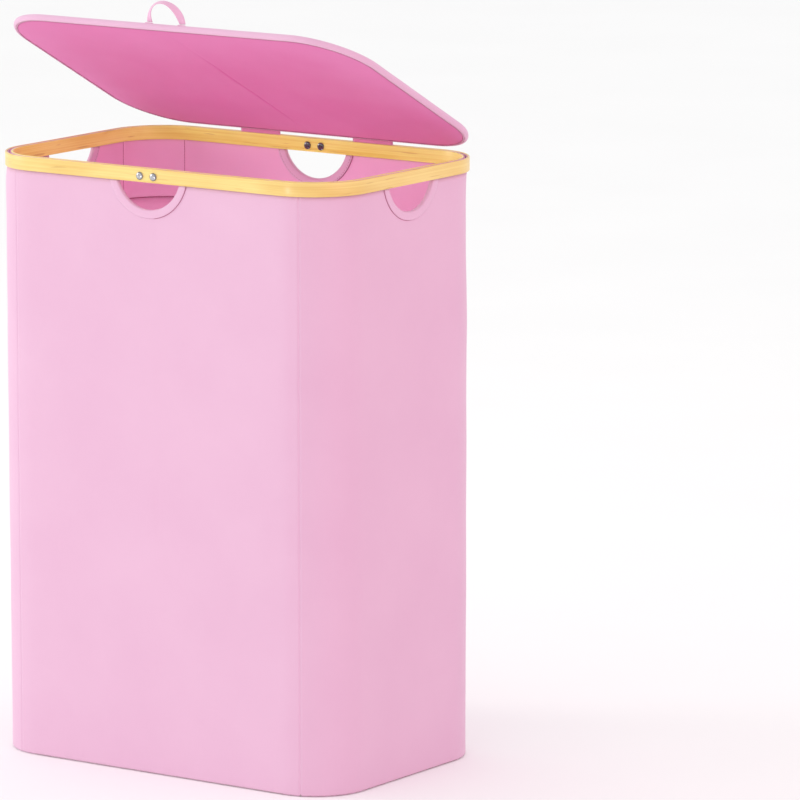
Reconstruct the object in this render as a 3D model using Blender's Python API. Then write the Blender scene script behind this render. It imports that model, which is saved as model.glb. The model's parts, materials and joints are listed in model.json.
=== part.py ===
"""Laundry hamper: a stiffened fabric body hung on a bamboo hoop, with a fabric-hinged lid.

The origin is the centre of the base on the floor, +X runs along the wide front, +Y towards the
hinge side and +Z up.  The lid is built flat about its hinge line and then opened.
"""
import math

import bmesh
import bpy
from mathutils import Matrix, Vector

MM = 0.001
CLEARANCE = 0.3 * MM          # air between two pieces that touch on the real thing

# Bamboo hoop, which sets the plan outline of everything below it
RIM_WIDTH = 450.0 * MM
RIM_DEPTH = 297.6 * MM
RIM_CORNER = 64.0 * MM
RIM_TOP = 642.0 * MM
BAND_HEIGHT = 14.8 * MM
OUTER_BAND = 2.3 * MM
INNER_BAND = 2.2 * MM

# Fabric and board thicknesses
CANVAS = 0.9 * MM
LINING = 0.7 * MM
WALL_BOARD = 1.2 * MM
BASE_BOARD = 2.0 * MM

# Sewn lines of the body
CORNER_SEAM_ANGLE = 70.0      # degrees round the corner from the side wall to the canvas seam
FACING_DEPTH = 78.0 * MM      # height of the inner facing below the top of the hoop
TUCK = 0.5 * MM               # how far the cloth stops below the top of the hoop
BOARD_TO_CORNER = 3.0 * MM    # how far a wall board stops short of the rounded corner

# Handle openings, one in each wall
HANDLE_RADIUS = 41.5 * MM
HANDLE_ABOVE_BAND = 1.0 * MM      # how far the cut runs up behind the lower edge of the hoop
HANDLE_CENTRE_DROP = 2.0 * MM     # centre of the round below the top of the hoop
FRONT_SHIFT = -6.6 * MM           # the front opening and its fasteners sit left of the middle
BINDING_WIDTH = 9.0 * MM
BINDING = 0.8 * MM

# Fasteners through the hoop, two at the front and two at the back
FASTENER_SPACING = 17.4 * MM
FASTENER_DROP = 8.2 * MM
HEAD_RADIUS = 4.2 * MM
HEAD_HEIGHT = 1.6 * MM
SHANK_RADIUS = 1.3 * MM
STUD_RADIUS = 0.6 * MM
BAND_EASE = 0.5 * MM          # eased edge of each bamboo band

# Hinge straps
STRAP_WIDTH = 52.0 * MM
STRAP = 0.9 * MM
STRAP_FROM_CENTRE = 73.5 * MM
STRAP_TUCK = 13.0 * MM        # length held between the two bands
HINGE_ABOVE_RIM = 3.5 * MM
STRAP_BEND = 0.5 * MM         # free cloth left below the hinge line
LEAF_LENGTH = 22.0 * MM
LEAF_START = 0.9 * MM         # free cloth left beyond the hinge line

# Lid, a little larger than the hoop it closes
LID_OVER_SIDE = 3.0 * MM      # beyond each end of the hoop
LID_OVER_DEPTH = 7.4 * MM     # deeper than the hoop, front and back together
LID_OVER_CORNER = 6.0 * MM    # rounder than the hoop
LID_SETBACK = 3.1 * MM        # rear edge in front of the hinge line
LID_DROP = 1.8 * MM           # underside below the hinge line
LID_ROUND = 1.6 * MM
LID_HEM = 5.0 * MM
LID_CLOTH = 0.8 * MM
LID_BOARD = 3.4 * MM
LID_SPLIT = 0.6 * MM
LID_OPEN = 27.2               # degrees

# Pull loop on the front of the lid
LOOP_SPAN = 42.0 * MM
LOOP_HEIGHT = 24.0 * MM
LOOP_WIDTH = 7.5 * MM
LOOP_CLOTH = 1.0 * MM
LOOP_SETBACK = 5.0 * MM
LOOP_LEAN = 44.0              # degrees forward of square to the lid
TAB_WIDTH = 10.0 * MM
TAB_DEPTH = 6.0 * MM
TAB_THICKNESS = 0.8 * MM

ARC_STEP = 10.0               # degrees of corner to each straight piece
HANDLE_STEPS = 24
TURN_STEPS = 12
LOOP_STEPS = 18
CUTTER_EXTRA = 2.0 * MM       # how far a cutter runs past the cloth it cuts

# Where each layer of the wall lies, as an inset from the outer face of the hoop
CANVAS_INSET = OUTER_BAND + CLEARANCE
BOARD_INSET = CANVAS_INSET + CANVAS + CLEARANCE
LINING_INSET = BOARD_INSET + max(WALL_BOARD, STRAP) + CLEARANCE
INNER_BAND_INSET = LINING_INSET + LINING + CLEARANCE
HOOP_INSIDE = INNER_BAND_INSET + INNER_BAND

BAND_BOTTOM = RIM_TOP - BAND_HEIGHT
FACING_BOTTOM = RIM_TOP - FACING_DEPTH
HANDLE_CENTRE = RIM_TOP - HANDLE_CENTRE_DROP
HINGE_HEIGHT = RIM_TOP + HINGE_ABOVE_RIM
HINGE_BACK = RIM_DEPTH / 2 - BOARD_INSET - STRAP / 2

# The lid's outline, and the layers that make up its thickness
LID_WIDTH = RIM_WIDTH + 2 * LID_OVER_SIDE
LID_DEPTH = RIM_DEPTH + LID_OVER_DEPTH
LID_CORNER = RIM_CORNER + LID_OVER_CORNER
LID_THICKNESS = 2 * LID_CLOTH + STRAP + LID_BOARD + 3 * CLEARANCE

# The four walls: turn about Z from the front wall, and distance of the hoop's face
WALLS = {
    "front": (0.0, RIM_DEPTH / 2),
    "right": (90.0, RIM_WIDTH / 2),
    "back": (180.0, RIM_DEPTH / 2),
    "left": (270.0, RIM_WIDTH / 2),
}
WALL_SHIFT = {"front": FRONT_SHIFT, "right": 0.0, "back": 0.0, "left": 0.0}

PINK = (0.90, 0.56, 0.72, 1.0)
DEEP_PINK = (0.80, 0.38, 0.56, 1.0)
BAMBOO = (0.86, 0.62, 0.24, 1.0)
STEEL = (0.72, 0.72, 0.74, 1.0)
DARK_STEEL = (0.10, 0.10, 0.11, 1.0)
GREYBOARD = (0.45, 0.42, 0.38, 1.0)


def clear_scene():
    for item in list(bpy.data.objects):
        bpy.data.objects.remove(item, do_unlink=True)


def make_material(name, colour, roughness, metallic=0.0):
    material = bpy.data.materials.new(name)
    material.use_nodes = True
    shader = material.node_tree.nodes["Principled BSDF"]
    shader.inputs["Base Color"].default_value = colour
    shader.inputs["Roughness"].default_value = roughness
    shader.inputs["Metallic"].default_value = metallic
    return material


def finish_object(name, mesh_data, material, parent=None):
    """Close a bmesh into a named object with its faces pointing out."""
    bmesh.ops.recalc_face_normals(mesh_data, faces=mesh_data.faces)
    mesh = bpy.data.meshes.new(name)
    mesh_data.to_mesh(mesh)
    mesh_data.free()
    item = bpy.data.objects.new(name, mesh)
    bpy.context.scene.collection.objects.link(item)
    if material is not None:
        mesh.materials.append(material)
    if parent is not None:
        item.parent = parent
    return item


def hide_cutter(cutter):
    cutter.hide_render = True
    cutter.display_type = "WIRE"
    return cutter


def cut(item, cutter):
    modifier = item.modifiers.new(cutter.name, "BOOLEAN")
    modifier.operation = "DIFFERENCE"
    modifier.solver = "EXACT"
    modifier.object = cutter


def make_pivot(name, parent=None):
    pivot = bpy.data.objects.new(name, None)
    bpy.context.scene.collection.objects.link(pivot)
    if parent is not None:
        pivot.parent = parent
    return pivot


# ---------------------------------------------------------------- rounded-rectangle pieces

def stations(start, end):
    """Corner and angle of each outline point met counter-clockwise between two angles.

    Every piece turns its corners at the same whole steps, so layers stay parallel.
    """
    found = []
    for quarter in range(math.floor(start / 90.0), math.ceil(end / 90.0)):
        first = max(start, 90.0 * quarter)
        last = min(end, 90.0 * (quarter + 1))
        angles = [first]
        inner = math.floor(first / ARC_STEP) + 1
        while inner * ARC_STEP < last - 0.01:
            angles.append(inner * ARC_STEP)
            inner += 1
        angles.append(last)
        found.extend((quarter % 4, angle) for angle in angles)
    return found


def outline_point(size, station, inset, height):
    """A point on a rounded rectangle of (width, depth, corner), moved in by inset."""
    width, depth, corner = size
    quarter, angle = station
    side_x = 1.0 if quarter in (0, 3) else -1.0
    side_y = 1.0 if quarter in (0, 1) else -1.0
    reach = corner - inset
    x = side_x * (width / 2 - corner) + reach * math.cos(math.radians(angle))
    y = side_y * (depth / 2 - corner) + reach * math.sin(math.radians(angle))
    return (x, y, height)


def bridge(mesh_data, row_a, row_b, closed):
    """Quads between two rows of vertices."""
    count = len(row_a)
    last = count if closed else count - 1
    for index in range(last):
        after = (index + 1) % count
        mesh_data.faces.new((row_a[index], row_a[after], row_b[after], row_b[index]))


def sweep_profile(size, run, profile, whole):
    """Carry a closed profile of (inset, height) along the outline, all round or part way."""
    mesh_data = bmesh.new()
    rows = []
    for station in run:
        rows.append([mesh_data.verts.new(outline_point(size, station, *spot)) for spot in profile])
    for index in range(len(rows) - 1):
        bridge(mesh_data, rows[index], rows[index + 1], True)
    if whole:
        bridge(mesh_data, rows[-1], rows[0], True)
    else:
        mesh_data.faces.new(rows[0])
        mesh_data.faces.new(rows[-1])
    return mesh_data


def stack_outlines(size, layers, centre_y=0.0):
    """Join outlines of (inset, height) one after another and fill the first and the last."""
    mesh_data = bmesh.new()
    run = stations(0.0, 360.0)
    rows = []
    for inset, height in layers:
        row = []
        for station in run:
            x, y, z = outline_point(size, station, inset, height)
            row.append(mesh_data.verts.new((x, y + centre_y, z)))
        rows.append(row)
    for index in range(len(rows) - 1):
        bridge(mesh_data, rows[index], rows[index + 1], True)
    mesh_data.faces.new(rows[0])
    mesh_data.faces.new(rows[-1])
    return mesh_data


def band_profile(inset, thickness, bottom, top, ease=0.0):
    """Rectangle in the wall, with its four edges eased when ease is given."""
    inner = inset + thickness
    if ease <= 0.0:
        return [(inset, bottom), (inset, top), (inner, top), (inner, bottom)]
    return [
        (inset, bottom + ease), (inset, top - ease), (inset + ease, top), (inner - ease, top),
        (inner, top - ease), (inner, bottom + ease), (inner - ease, bottom), (inset + ease, bottom),
    ]


# ---------------------------------------------------------------- pieces placed on a wall

def wall_point(wall, along, inset, height):
    """Point on a wall: along it to the right as seen from outside, in from the hoop's face."""
    turn, distance = WALLS[wall]
    angle = math.radians(turn)
    y = inset - distance
    return (
        along * math.cos(angle) - y * math.sin(angle),
        along * math.sin(angle) + y * math.cos(angle),
        height,
    )


def turned_on_wall(wall, along, height, profile):
    """Turn a profile of (radius, inset) about a line square to the wall."""
    mesh_data = bmesh.new()
    rings = []
    for radius, inset in profile:
        if radius <= 0.0:
            rings.append([mesh_data.verts.new(wall_point(wall, along, inset, height))])
            continue
        ring = []
        for step in range(TURN_STEPS):
            angle = 2.0 * math.pi * step / TURN_STEPS
            across = along + radius * math.cos(angle)
            spot = wall_point(wall, across, inset, height + radius * math.sin(angle))
            ring.append(mesh_data.verts.new(spot))
        rings.append(ring)
    for lower, upper in zip(rings, rings[1:]):
        if len(lower) == 1 or len(upper) == 1:
            pole, ring = (lower[0], upper) if len(lower) == 1 else (upper[0], lower)
            for step in range(TURN_STEPS):
                mesh_data.faces.new((pole, ring[step], ring[(step + 1) % TURN_STEPS]))
        else:
            bridge(mesh_data, lower, upper, True)
    return mesh_data


def handle_outline(radius, top, shift):
    """Points of a circle about the handle centre, from one end of the chord to the other."""
    lift = math.asin((HANDLE_CENTRE - top) / radius)
    points = []
    for step in range(HANDLE_STEPS + 1):
        angle = math.pi + lift + (math.pi - 2.0 * lift) * step / HANDLE_STEPS
        points.append((shift + radius * math.cos(angle), HANDLE_CENTRE + radius * math.sin(angle)))
    return points


def make_handle_cutter():
    """Four D-shaped plugs, one through each wall, that stop behind the outer band."""
    mesh_data = bmesh.new()
    radius = HANDLE_RADIUS + BINDING + CLEARANCE
    for wall, shift in WALL_SHIFT.items():
        outline = handle_outline(radius, BAND_BOTTOM + HANDLE_ABOVE_BAND, shift)
        rows = []
        for inset in (0.0, HOOP_INSIDE + CUTTER_EXTRA):
            rows.append([mesh_data.verts.new(wall_point(wall, x, inset, z)) for x, z in outline])
        bridge(mesh_data, rows[0], rows[1], True)
        mesh_data.faces.new(rows[0])
        mesh_data.faces.new(rows[1])
    return hide_cutter(finish_object("handle_cutter", mesh_data, None))


def fastener_places():
    """Wall, side and distance along the wall of each fastener."""
    places = []
    for wall in ("front", "back"):
        for side, sign in (("left", -1), ("right", 1)):
            places.append((wall, side, WALL_SHIFT[wall] + sign * FASTENER_SPACING / 2))
    return places


def make_fastener_cutter():
    """Four round plugs for the fastener shanks."""
    radius = SHANK_RADIUS + CLEARANCE
    mesh_data = bmesh.new()
    for wall, _, along in fastener_places():
        end = HOOP_INSIDE + CUTTER_EXTRA
        profile = [(0.0, -CUTTER_EXTRA), (radius, -CUTTER_EXTRA), (radius, end), (0.0, end)]
        plug = turned_on_wall(wall, along, RIM_TOP - FASTENER_DROP, profile)
        mesh = bpy.data.meshes.new("plug")
        plug.to_mesh(mesh)
        plug.free()
        mesh_data.from_mesh(mesh)
        bpy.data.meshes.remove(mesh)
    return hide_cutter(finish_object("fastener_cutter", mesh_data, None))


# ---------------------------------------------------------------- body

def make_canvas(material, handle_cutter, fastener_cutter):
    """Outer cloth: four panels that meet at a seam on each rounded corner."""
    size = (RIM_WIDTH, RIM_DEPTH, RIM_CORNER)
    profile = band_profile(CANVAS_INSET, CANVAS, CANVAS + CLEARANCE, RIM_TOP - TUCK)
    half_gap = math.degrees(CLEARANCE / 2 / (RIM_CORNER - CANVAS_INSET - CANVAS))
    seam = CORNER_SEAM_ANGLE
    spans = {
        "canvas_right": (-seam, seam),
        "canvas_back": (seam, 180.0 - seam),
        "canvas_left": (180.0 - seam, 180.0 + seam),
        "canvas_front": (180.0 + seam, 360.0 - seam),
    }
    for name, (start, end) in spans.items():
        run = stations(start + half_gap, end - half_gap)
        item = finish_object(name, sweep_profile(size, run, profile, False), material)
        cut(item, handle_cutter)
        if name in ("canvas_front", "canvas_back"):
            cut(item, fastener_cutter)
    bottom = stack_outlines(size, [(CANVAS_INSET, 0.0), (CANVAS_INSET, CANVAS)])
    finish_object("bottom_panel", bottom, material)


def make_boards(material, handle_cutter):
    """Stiffening boards: one behind each flat wall, and one on the floor."""
    size = (RIM_WIDTH, RIM_DEPTH, RIM_CORNER)
    floor_bottom = CANVAS + CLEARANCE
    floor_top = floor_bottom + BASE_BOARD
    base = stack_outlines(size, [(BOARD_INSET, floor_bottom), (BOARD_INSET, floor_top)])
    finish_object("base_board", base, material)
    flat = {"front": RIM_WIDTH, "right": RIM_DEPTH, "back": RIM_WIDTH, "left": RIM_DEPTH}
    for wall, length in flat.items():
        half = length / 2 - RIM_CORNER - BOARD_TO_CORNER
        mesh_data = bmesh.new()
        rows = []
        for inset in (BOARD_INSET, BOARD_INSET + WALL_BOARD):
            corners = [(-half, floor_top + CLEARANCE), (half, floor_top + CLEARANCE),
                       (half, BAND_BOTTOM - CLEARANCE), (-half, BAND_BOTTOM - CLEARANCE)]
            rows.append([mesh_data.verts.new(wall_point(wall, x, inset, z)) for x, z in corners])
        bridge(mesh_data, rows[0], rows[1], True)
        mesh_data.faces.new(rows[0])
        mesh_data.faces.new(rows[1])
        item = finish_object("wall_board_" + wall, mesh_data, material)
        cut(item, handle_cutter)


def make_lining(material, handle_cutter, fastener_cutter):
    """Inner cloth: a floor, a tube up to the seam, and the facing above it."""
    size = (RIM_WIDTH, RIM_DEPTH, RIM_CORNER)
    whole = stations(0.0, 360.0)
    floor_bottom = CANVAS + BASE_BOARD + 2 * CLEARANCE
    floor_top = floor_bottom + LINING
    floor = stack_outlines(size, [(LINING_INSET, floor_bottom), (LINING_INSET, floor_top)])
    finish_object("lining_floor", floor, material)
    tube = band_profile(LINING_INSET, LINING, floor_top + CLEARANCE, FACING_BOTTOM - CLEARANCE)
    finish_object("lining_wall", sweep_profile(size, whole, tube, True), material)
    facing = band_profile(LINING_INSET, LINING, FACING_BOTTOM, RIM_TOP - TUCK)
    item = finish_object("lining_facing", sweep_profile(size, whole, facing, True), material)
    cut(item, handle_cutter)
    cut(item, fastener_cutter)


def make_bindings(material):
    """Folded tape round the edge of each handle opening, outside and inside the wall."""
    outside = CANVAS_INSET - CLEARANCE
    inside = LINING_INSET + LINING + CLEARANCE
    open_radius = HANDLE_RADIUS
    web = open_radius + BINDING
    edge = open_radius + BINDING_WIDTH
    section = [
        (open_radius, outside - BINDING), (edge, outside - BINDING), (edge, outside), (web, outside),
        (web, inside), (edge, inside), (edge, inside + BINDING), (open_radius, inside + BINDING),
    ]
    top = BAND_BOTTOM - CLEARANCE
    for wall, shift in WALL_SHIFT.items():
        mesh_data = bmesh.new()
        columns = []
        for radius, inset in section:
            spots = handle_outline(radius, top, shift)
            columns.append([mesh_data.verts.new(wall_point(wall, x, inset, z)) for x, z in spots])
        for column, after in zip(columns, columns[1:] + columns[:1]):
            bridge(mesh_data, column, after, False)
        mesh_data.faces.new([column[0] for column in columns])
        mesh_data.faces.new([column[-1] for column in columns])
        finish_object("handle_binding_" + wall, mesh_data, material)


def make_hoop(material, fastener_cutter):
    """The two bamboo bands that clamp the cloth between them."""
    size = (RIM_WIDTH, RIM_DEPTH, RIM_CORNER)
    whole = stations(0.0, 360.0)
    outer = band_profile(0.0, OUTER_BAND, BAND_BOTTOM, RIM_TOP, BAND_EASE)
    inner = band_profile(INNER_BAND_INSET, INNER_BAND, BAND_BOTTOM, RIM_TOP, BAND_EASE)
    for name, profile in (("rim_outer", outer), ("rim_inner", inner)):
        item = finish_object(name, sweep_profile(size, whole, profile, True), material)
        cut(item, fastener_cutter)


def make_fasteners(post_material, screw_material):
    """Domed posts from outside, each taking a screw from inside."""
    height = RIM_TOP - FASTENER_DROP
    bore = STUD_RADIUS + CLEARANCE
    meet = (INNER_BAND_INSET + BOARD_INSET) / 2
    bore_end = CANVAS_INSET - CLEARANCE
    head = -CLEARANCE
    post = [
        (0.0, head - HEAD_HEIGHT), (0.5 * HEAD_RADIUS, head - 0.85 * HEAD_HEIGHT),
        (0.86 * HEAD_RADIUS, head - 0.5 * HEAD_HEIGHT), (HEAD_RADIUS, head), (SHANK_RADIUS, head),
        (SHANK_RADIUS, meet), (bore, meet), (bore, bore_end), (0.0, bore_end),
    ]
    inner_head = HOOP_INSIDE + CLEARANCE
    screw = [
        (0.0, inner_head + HEAD_HEIGHT), (0.5 * HEAD_RADIUS, inner_head + 0.85 * HEAD_HEIGHT),
        (0.86 * HEAD_RADIUS, inner_head + 0.5 * HEAD_HEIGHT), (HEAD_RADIUS, inner_head),
        (SHANK_RADIUS, inner_head), (SHANK_RADIUS, meet + CLEARANCE), (STUD_RADIUS, meet + CLEARANCE),
        (STUD_RADIUS, bore_end + CLEARANCE), (0.0, bore_end + CLEARANCE),
    ]
    for wall, side, along in fastener_places():
        tag = wall + "_" + side
        finish_object("post_" + tag, turned_on_wall(wall, along, height, post), post_material)
        finish_object("screw_" + tag, turned_on_wall(wall, along, height, screw), screw_material)


# ---------------------------------------------------------------- lid

def box_mesh(low, high):
    """Block between two corners."""
    size = Vector(high) - Vector(low)
    centre = (Vector(high) + Vector(low)) / 2
    mesh_data = bmesh.new()
    place = Matrix.Translation(centre) @ Matrix.Diagonal((*size, 1.0))
    bmesh.ops.create_cube(mesh_data, size=1.0, matrix=place)
    return mesh_data


def strap_sides():
    return {"left": -STRAP_FROM_CENTRE, "right": STRAP_FROM_CENTRE}


def leaf_levels():
    """Bottom and top of the strap's sewn-in end, measured from the hinge line in the lid."""
    bottom = LID_CLOTH + CLEARANCE - LID_DROP
    return bottom, bottom + STRAP


def make_straps(material, lid_pivot):
    """Each hinge strap: one end clamped in the hoop, the other sewn into the lid."""
    bottom, top = leaf_levels()
    for side, middle in strap_sides().items():
        low_x = middle - STRAP_WIDTH / 2
        high_x = middle + STRAP_WIDTH / 2
        low = (low_x, HINGE_BACK - STRAP / 2, RIM_TOP - STRAP_TUCK)
        high = (high_x, HINGE_BACK + STRAP / 2, HINGE_HEIGHT - STRAP_BEND)
        finish_object("hinge_strap_" + side, box_mesh(low, high), material)
        leaf = box_mesh((low_x, -LEAF_LENGTH, bottom), (high_x, -LEAF_START, top))
        finish_object("hinge_leaf_" + side, leaf, material, lid_pivot)


def make_leaf_cutter(lid_pivot):
    """Two slots in the rear edge of the lid cover, where the straps go in."""
    bottom, top = leaf_levels()
    mesh_data = bmesh.new()
    for middle in strap_sides().values():
        half = STRAP_WIDTH / 2 + CLEARANCE
        low = Vector((middle - half, -LID_SETBACK - CUTTER_EXTRA, bottom - CLEARANCE))
        high = Vector((middle + half, CUTTER_EXTRA, top + CLEARANCE))
        place = Matrix.Translation((low + high) / 2) @ Matrix.Diagonal((*(high - low), 1.0))
        bmesh.ops.create_cube(mesh_data, size=1.0, matrix=place)
    return hide_cutter(finish_object("leaf_cutter", mesh_data, None, lid_pivot))


def make_lid_cover(material, lid_pivot, size, centre_y):
    """Top cloth, turned down round the edge and under as a hem, open in the middle below."""
    base = -LID_DROP
    top = base + LID_THICKNESS
    inner = LID_CLOTH
    layers = [
        (inner + LID_ROUND, top - inner), (inner, top - inner - LID_ROUND), (inner, base + inner),
        (LID_HEM, base + inner), (LID_HEM, base), (LID_ROUND, base),
        (0.3 * LID_ROUND, base + 0.3 * LID_ROUND), (0.0, base + LID_ROUND), (0.0, top - LID_ROUND),
        (0.3 * LID_ROUND, top - 0.3 * LID_ROUND), (LID_ROUND, top),
    ]
    cover = finish_object("lid_cover", stack_outlines(size, layers, centre_y), material, lid_pivot)
    cut(cover, make_leaf_cutter(lid_pivot))


def make_lid_boards(material, lid_pivot, size, centre_y):
    """Stiff board in two halves, which meet on the middle line of the lid."""
    top = LID_THICKNESS - LID_DROP - LID_CLOTH - CLEARANCE
    bottom = top - LID_BOARD
    inset = LID_CLOTH + CLEARANCE + LID_ROUND
    width, depth, corner = size
    for side, sign in (("left", -1.0), ("right", 1.0)):
        mesh_data = bmesh.new()
        rows = []
        run = stations(-90.0, 90.0) if sign > 0 else stations(90.0, 270.0)
        for height in (bottom, top):
            row = []
            for station in run:
                x, y, z = outline_point(size, station, inset, height)
                row.append(mesh_data.verts.new((x, y + centre_y, z)))
            for y in ((depth / 2 - inset) * sign, (depth / 2 - inset) * -sign):
                row.append(mesh_data.verts.new((sign * LID_SPLIT / 2, y + centre_y, height)))
            rows.append(row)
        bridge(mesh_data, rows[0], rows[1], True)
        mesh_data.faces.new(rows[0])
        mesh_data.faces.new(rows[1])
        finish_object("lid_board_" + side, mesh_data, material, lid_pivot)


def make_lid(cover_material, lining_material, board_material, lid_pivot):
    size = (LID_WIDTH, LID_DEPTH, LID_CORNER)
    centre_y = -LID_SETBACK - LID_DEPTH / 2
    make_lid_cover(cover_material, lid_pivot, size, centre_y)
    make_lid_boards(board_material, lid_pivot, size, centre_y)
    inset = LID_HEM + CLEARANCE
    layers = [(inset, -LID_DROP), (inset, LID_CLOTH - LID_DROP)]
    finish_object("lid_lining", stack_outlines(size, layers, centre_y), lining_material, lid_pivot)


# ---------------------------------------------------------------- pull loop

def make_loop(material, lid_pivot):
    """Webbing arch that swings on its two sewn feet, a quarter turn of twist in each leg."""
    lid_top = LID_THICKNESS - LID_DROP
    front = -LID_SETBACK - LID_DEPTH + LOOP_SETBACK
    tab_top = lid_top + CLEARANCE + TAB_THICKNESS
    for side, x in (("left", -LOOP_SPAN / 2), ("right", LOOP_SPAN / 2)):
        low = (x - TAB_WIDTH / 2, front - TAB_DEPTH / 2, lid_top + CLEARANCE)
        high = (x + TAB_WIDTH / 2, front + TAB_DEPTH / 2, tab_top)
        finish_object("loop_tab_" + side, box_mesh(low, high), material, lid_pivot)
    pivot = make_pivot("loop_pivot", lid_pivot)
    pivot.location = (0.0, front, tab_top + LOOP_CLOTH / 2)
    pivot.rotation_euler = (math.radians(LOOP_LEAN), 0.0, 0.0)
    mesh_data = bmesh.new()
    rows = [[mesh_data.verts.new(spot) for spot in loop_section(step / LOOP_STEPS)]
            for step in range(LOOP_STEPS + 1)]
    for row, after in zip(rows, rows[1:]):
        bridge(mesh_data, row, after, True)
    mesh_data.faces.new(rows[0])
    mesh_data.faces.new(rows[-1])
    finish_object("pull_loop", mesh_data, material, pivot)


def loop_section(share):
    """Four corners of the webbing at a share of the way over the arch, from left to right."""
    foot = math.radians(2.0)
    angle = math.pi - foot - (math.pi - 2 * foot) * share
    centre = Vector((LOOP_SPAN / 2 * math.cos(angle), 0.0, CLEARANCE + LOOP_HEIGHT * math.sin(angle)))
    along = Vector((LOOP_SPAN / 2 * math.sin(angle), 0.0, -LOOP_HEIGHT * math.cos(angle))).normalized()
    flat = Vector((-along.z, 0.0, along.x))
    twist = math.pi / 2 * math.sin(angle)
    wide = flat * math.cos(twist) + Vector((0.0, 1.0, 0.0)) * math.sin(twist)
    thin = along.cross(wide)
    wide *= LOOP_WIDTH / 2
    thin *= LOOP_CLOTH / 2
    return [centre + wide + thin, centre - wide + thin, centre - wide - thin, centre + wide - thin]


def build():
    clear_scene()
    canvas = make_material("canvas", PINK, 0.85)
    lining = make_material("lining", DEEP_PINK, 0.88)
    bamboo = make_material("bamboo", BAMBOO, 0.45)
    board = make_material("greyboard", GREYBOARD, 0.9)
    steel = make_material("post_steel", STEEL, 0.3, 1.0)
    dark = make_material("screw_steel", DARK_STEEL, 0.4, 1.0)
    webbing = make_material("webbing", PINK, 0.8)

    handle_cutter = make_handle_cutter()
    fastener_cutter = make_fastener_cutter()
    make_canvas(canvas, handle_cutter, fastener_cutter)
    make_boards(board, handle_cutter)
    make_lining(lining, handle_cutter, fastener_cutter)
    make_bindings(canvas)
    make_hoop(bamboo, fastener_cutter)
    make_fasteners(steel, dark)

    lid_pivot = make_pivot("lid_pivot")
    lid_pivot.location = (0.0, HINGE_BACK, HINGE_HEIGHT)
    lid_pivot.rotation_euler = (-math.radians(LID_OPEN), 0.0, 0.0)
    make_straps(webbing, lid_pivot)
    make_lid(canvas, lining, board, lid_pivot)
    make_loop(webbing, lid_pivot)


build()
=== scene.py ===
import json
import math

import bmesh
import bpy
import numpy as np
from mathutils import Matrix, Vector


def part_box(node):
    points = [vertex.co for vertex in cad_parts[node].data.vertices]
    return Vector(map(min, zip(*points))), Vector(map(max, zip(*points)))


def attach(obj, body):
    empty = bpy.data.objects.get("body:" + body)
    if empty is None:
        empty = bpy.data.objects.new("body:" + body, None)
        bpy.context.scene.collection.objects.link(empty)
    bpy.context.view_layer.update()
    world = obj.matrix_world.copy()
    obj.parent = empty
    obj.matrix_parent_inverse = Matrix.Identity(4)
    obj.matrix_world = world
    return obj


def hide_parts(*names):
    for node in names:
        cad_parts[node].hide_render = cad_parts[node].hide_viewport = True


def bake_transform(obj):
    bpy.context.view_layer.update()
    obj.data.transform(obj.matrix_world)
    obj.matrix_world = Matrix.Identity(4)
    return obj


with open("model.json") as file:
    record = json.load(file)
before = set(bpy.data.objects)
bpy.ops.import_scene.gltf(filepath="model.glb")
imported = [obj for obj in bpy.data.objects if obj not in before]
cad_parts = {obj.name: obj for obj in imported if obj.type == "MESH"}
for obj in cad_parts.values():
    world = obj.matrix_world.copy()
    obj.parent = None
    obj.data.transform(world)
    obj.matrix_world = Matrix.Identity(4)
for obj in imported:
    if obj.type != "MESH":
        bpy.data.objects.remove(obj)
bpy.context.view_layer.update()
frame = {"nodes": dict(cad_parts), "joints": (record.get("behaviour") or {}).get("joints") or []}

mm = 0.001
pointRadius = 0.0005 * mm        # a ring this small is sealed to one vertex
hingeAt = Vector(frame["joints"][0]["pos_m"])
loopAt = Vector(frame["joints"][1]["pos_m"])

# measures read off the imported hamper
rimLow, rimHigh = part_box("rim_outer")
hoop = {"halfX": rimHigh.x, "halfY": rimHigh.y, "corner": 64 * mm}
rimTop = rimHigh.z
bandBottom = rimLow.z
canvasInset = rimHigh.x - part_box("canvas_right")[1].x
facingInset = rimHigh.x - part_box("lining_facing")[1].x
innerInset = rimHigh.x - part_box("rim_inner")[1].x
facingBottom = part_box("lining_facing")[0].z
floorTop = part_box("lining_floor")[1].z
bindingLow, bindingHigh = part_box("handle_binding_front")
handle = {"centreZ": rimTop - 2 * mm, "width": 9 * mm}
handle["outer"] = handle["centreZ"] - bindingLow.z
handle["clear"] = handle["outer"] - handle["width"]
wallShift = {"front": (bindingLow.x + bindingHigh.x) / 2, "right": 0.0, "back": 0.0, "left": 0.0}
print("frame read: hoop", [round(v / mm, 1) for v in (hoop["halfX"], hoop["halfY"], rimTop)])


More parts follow.
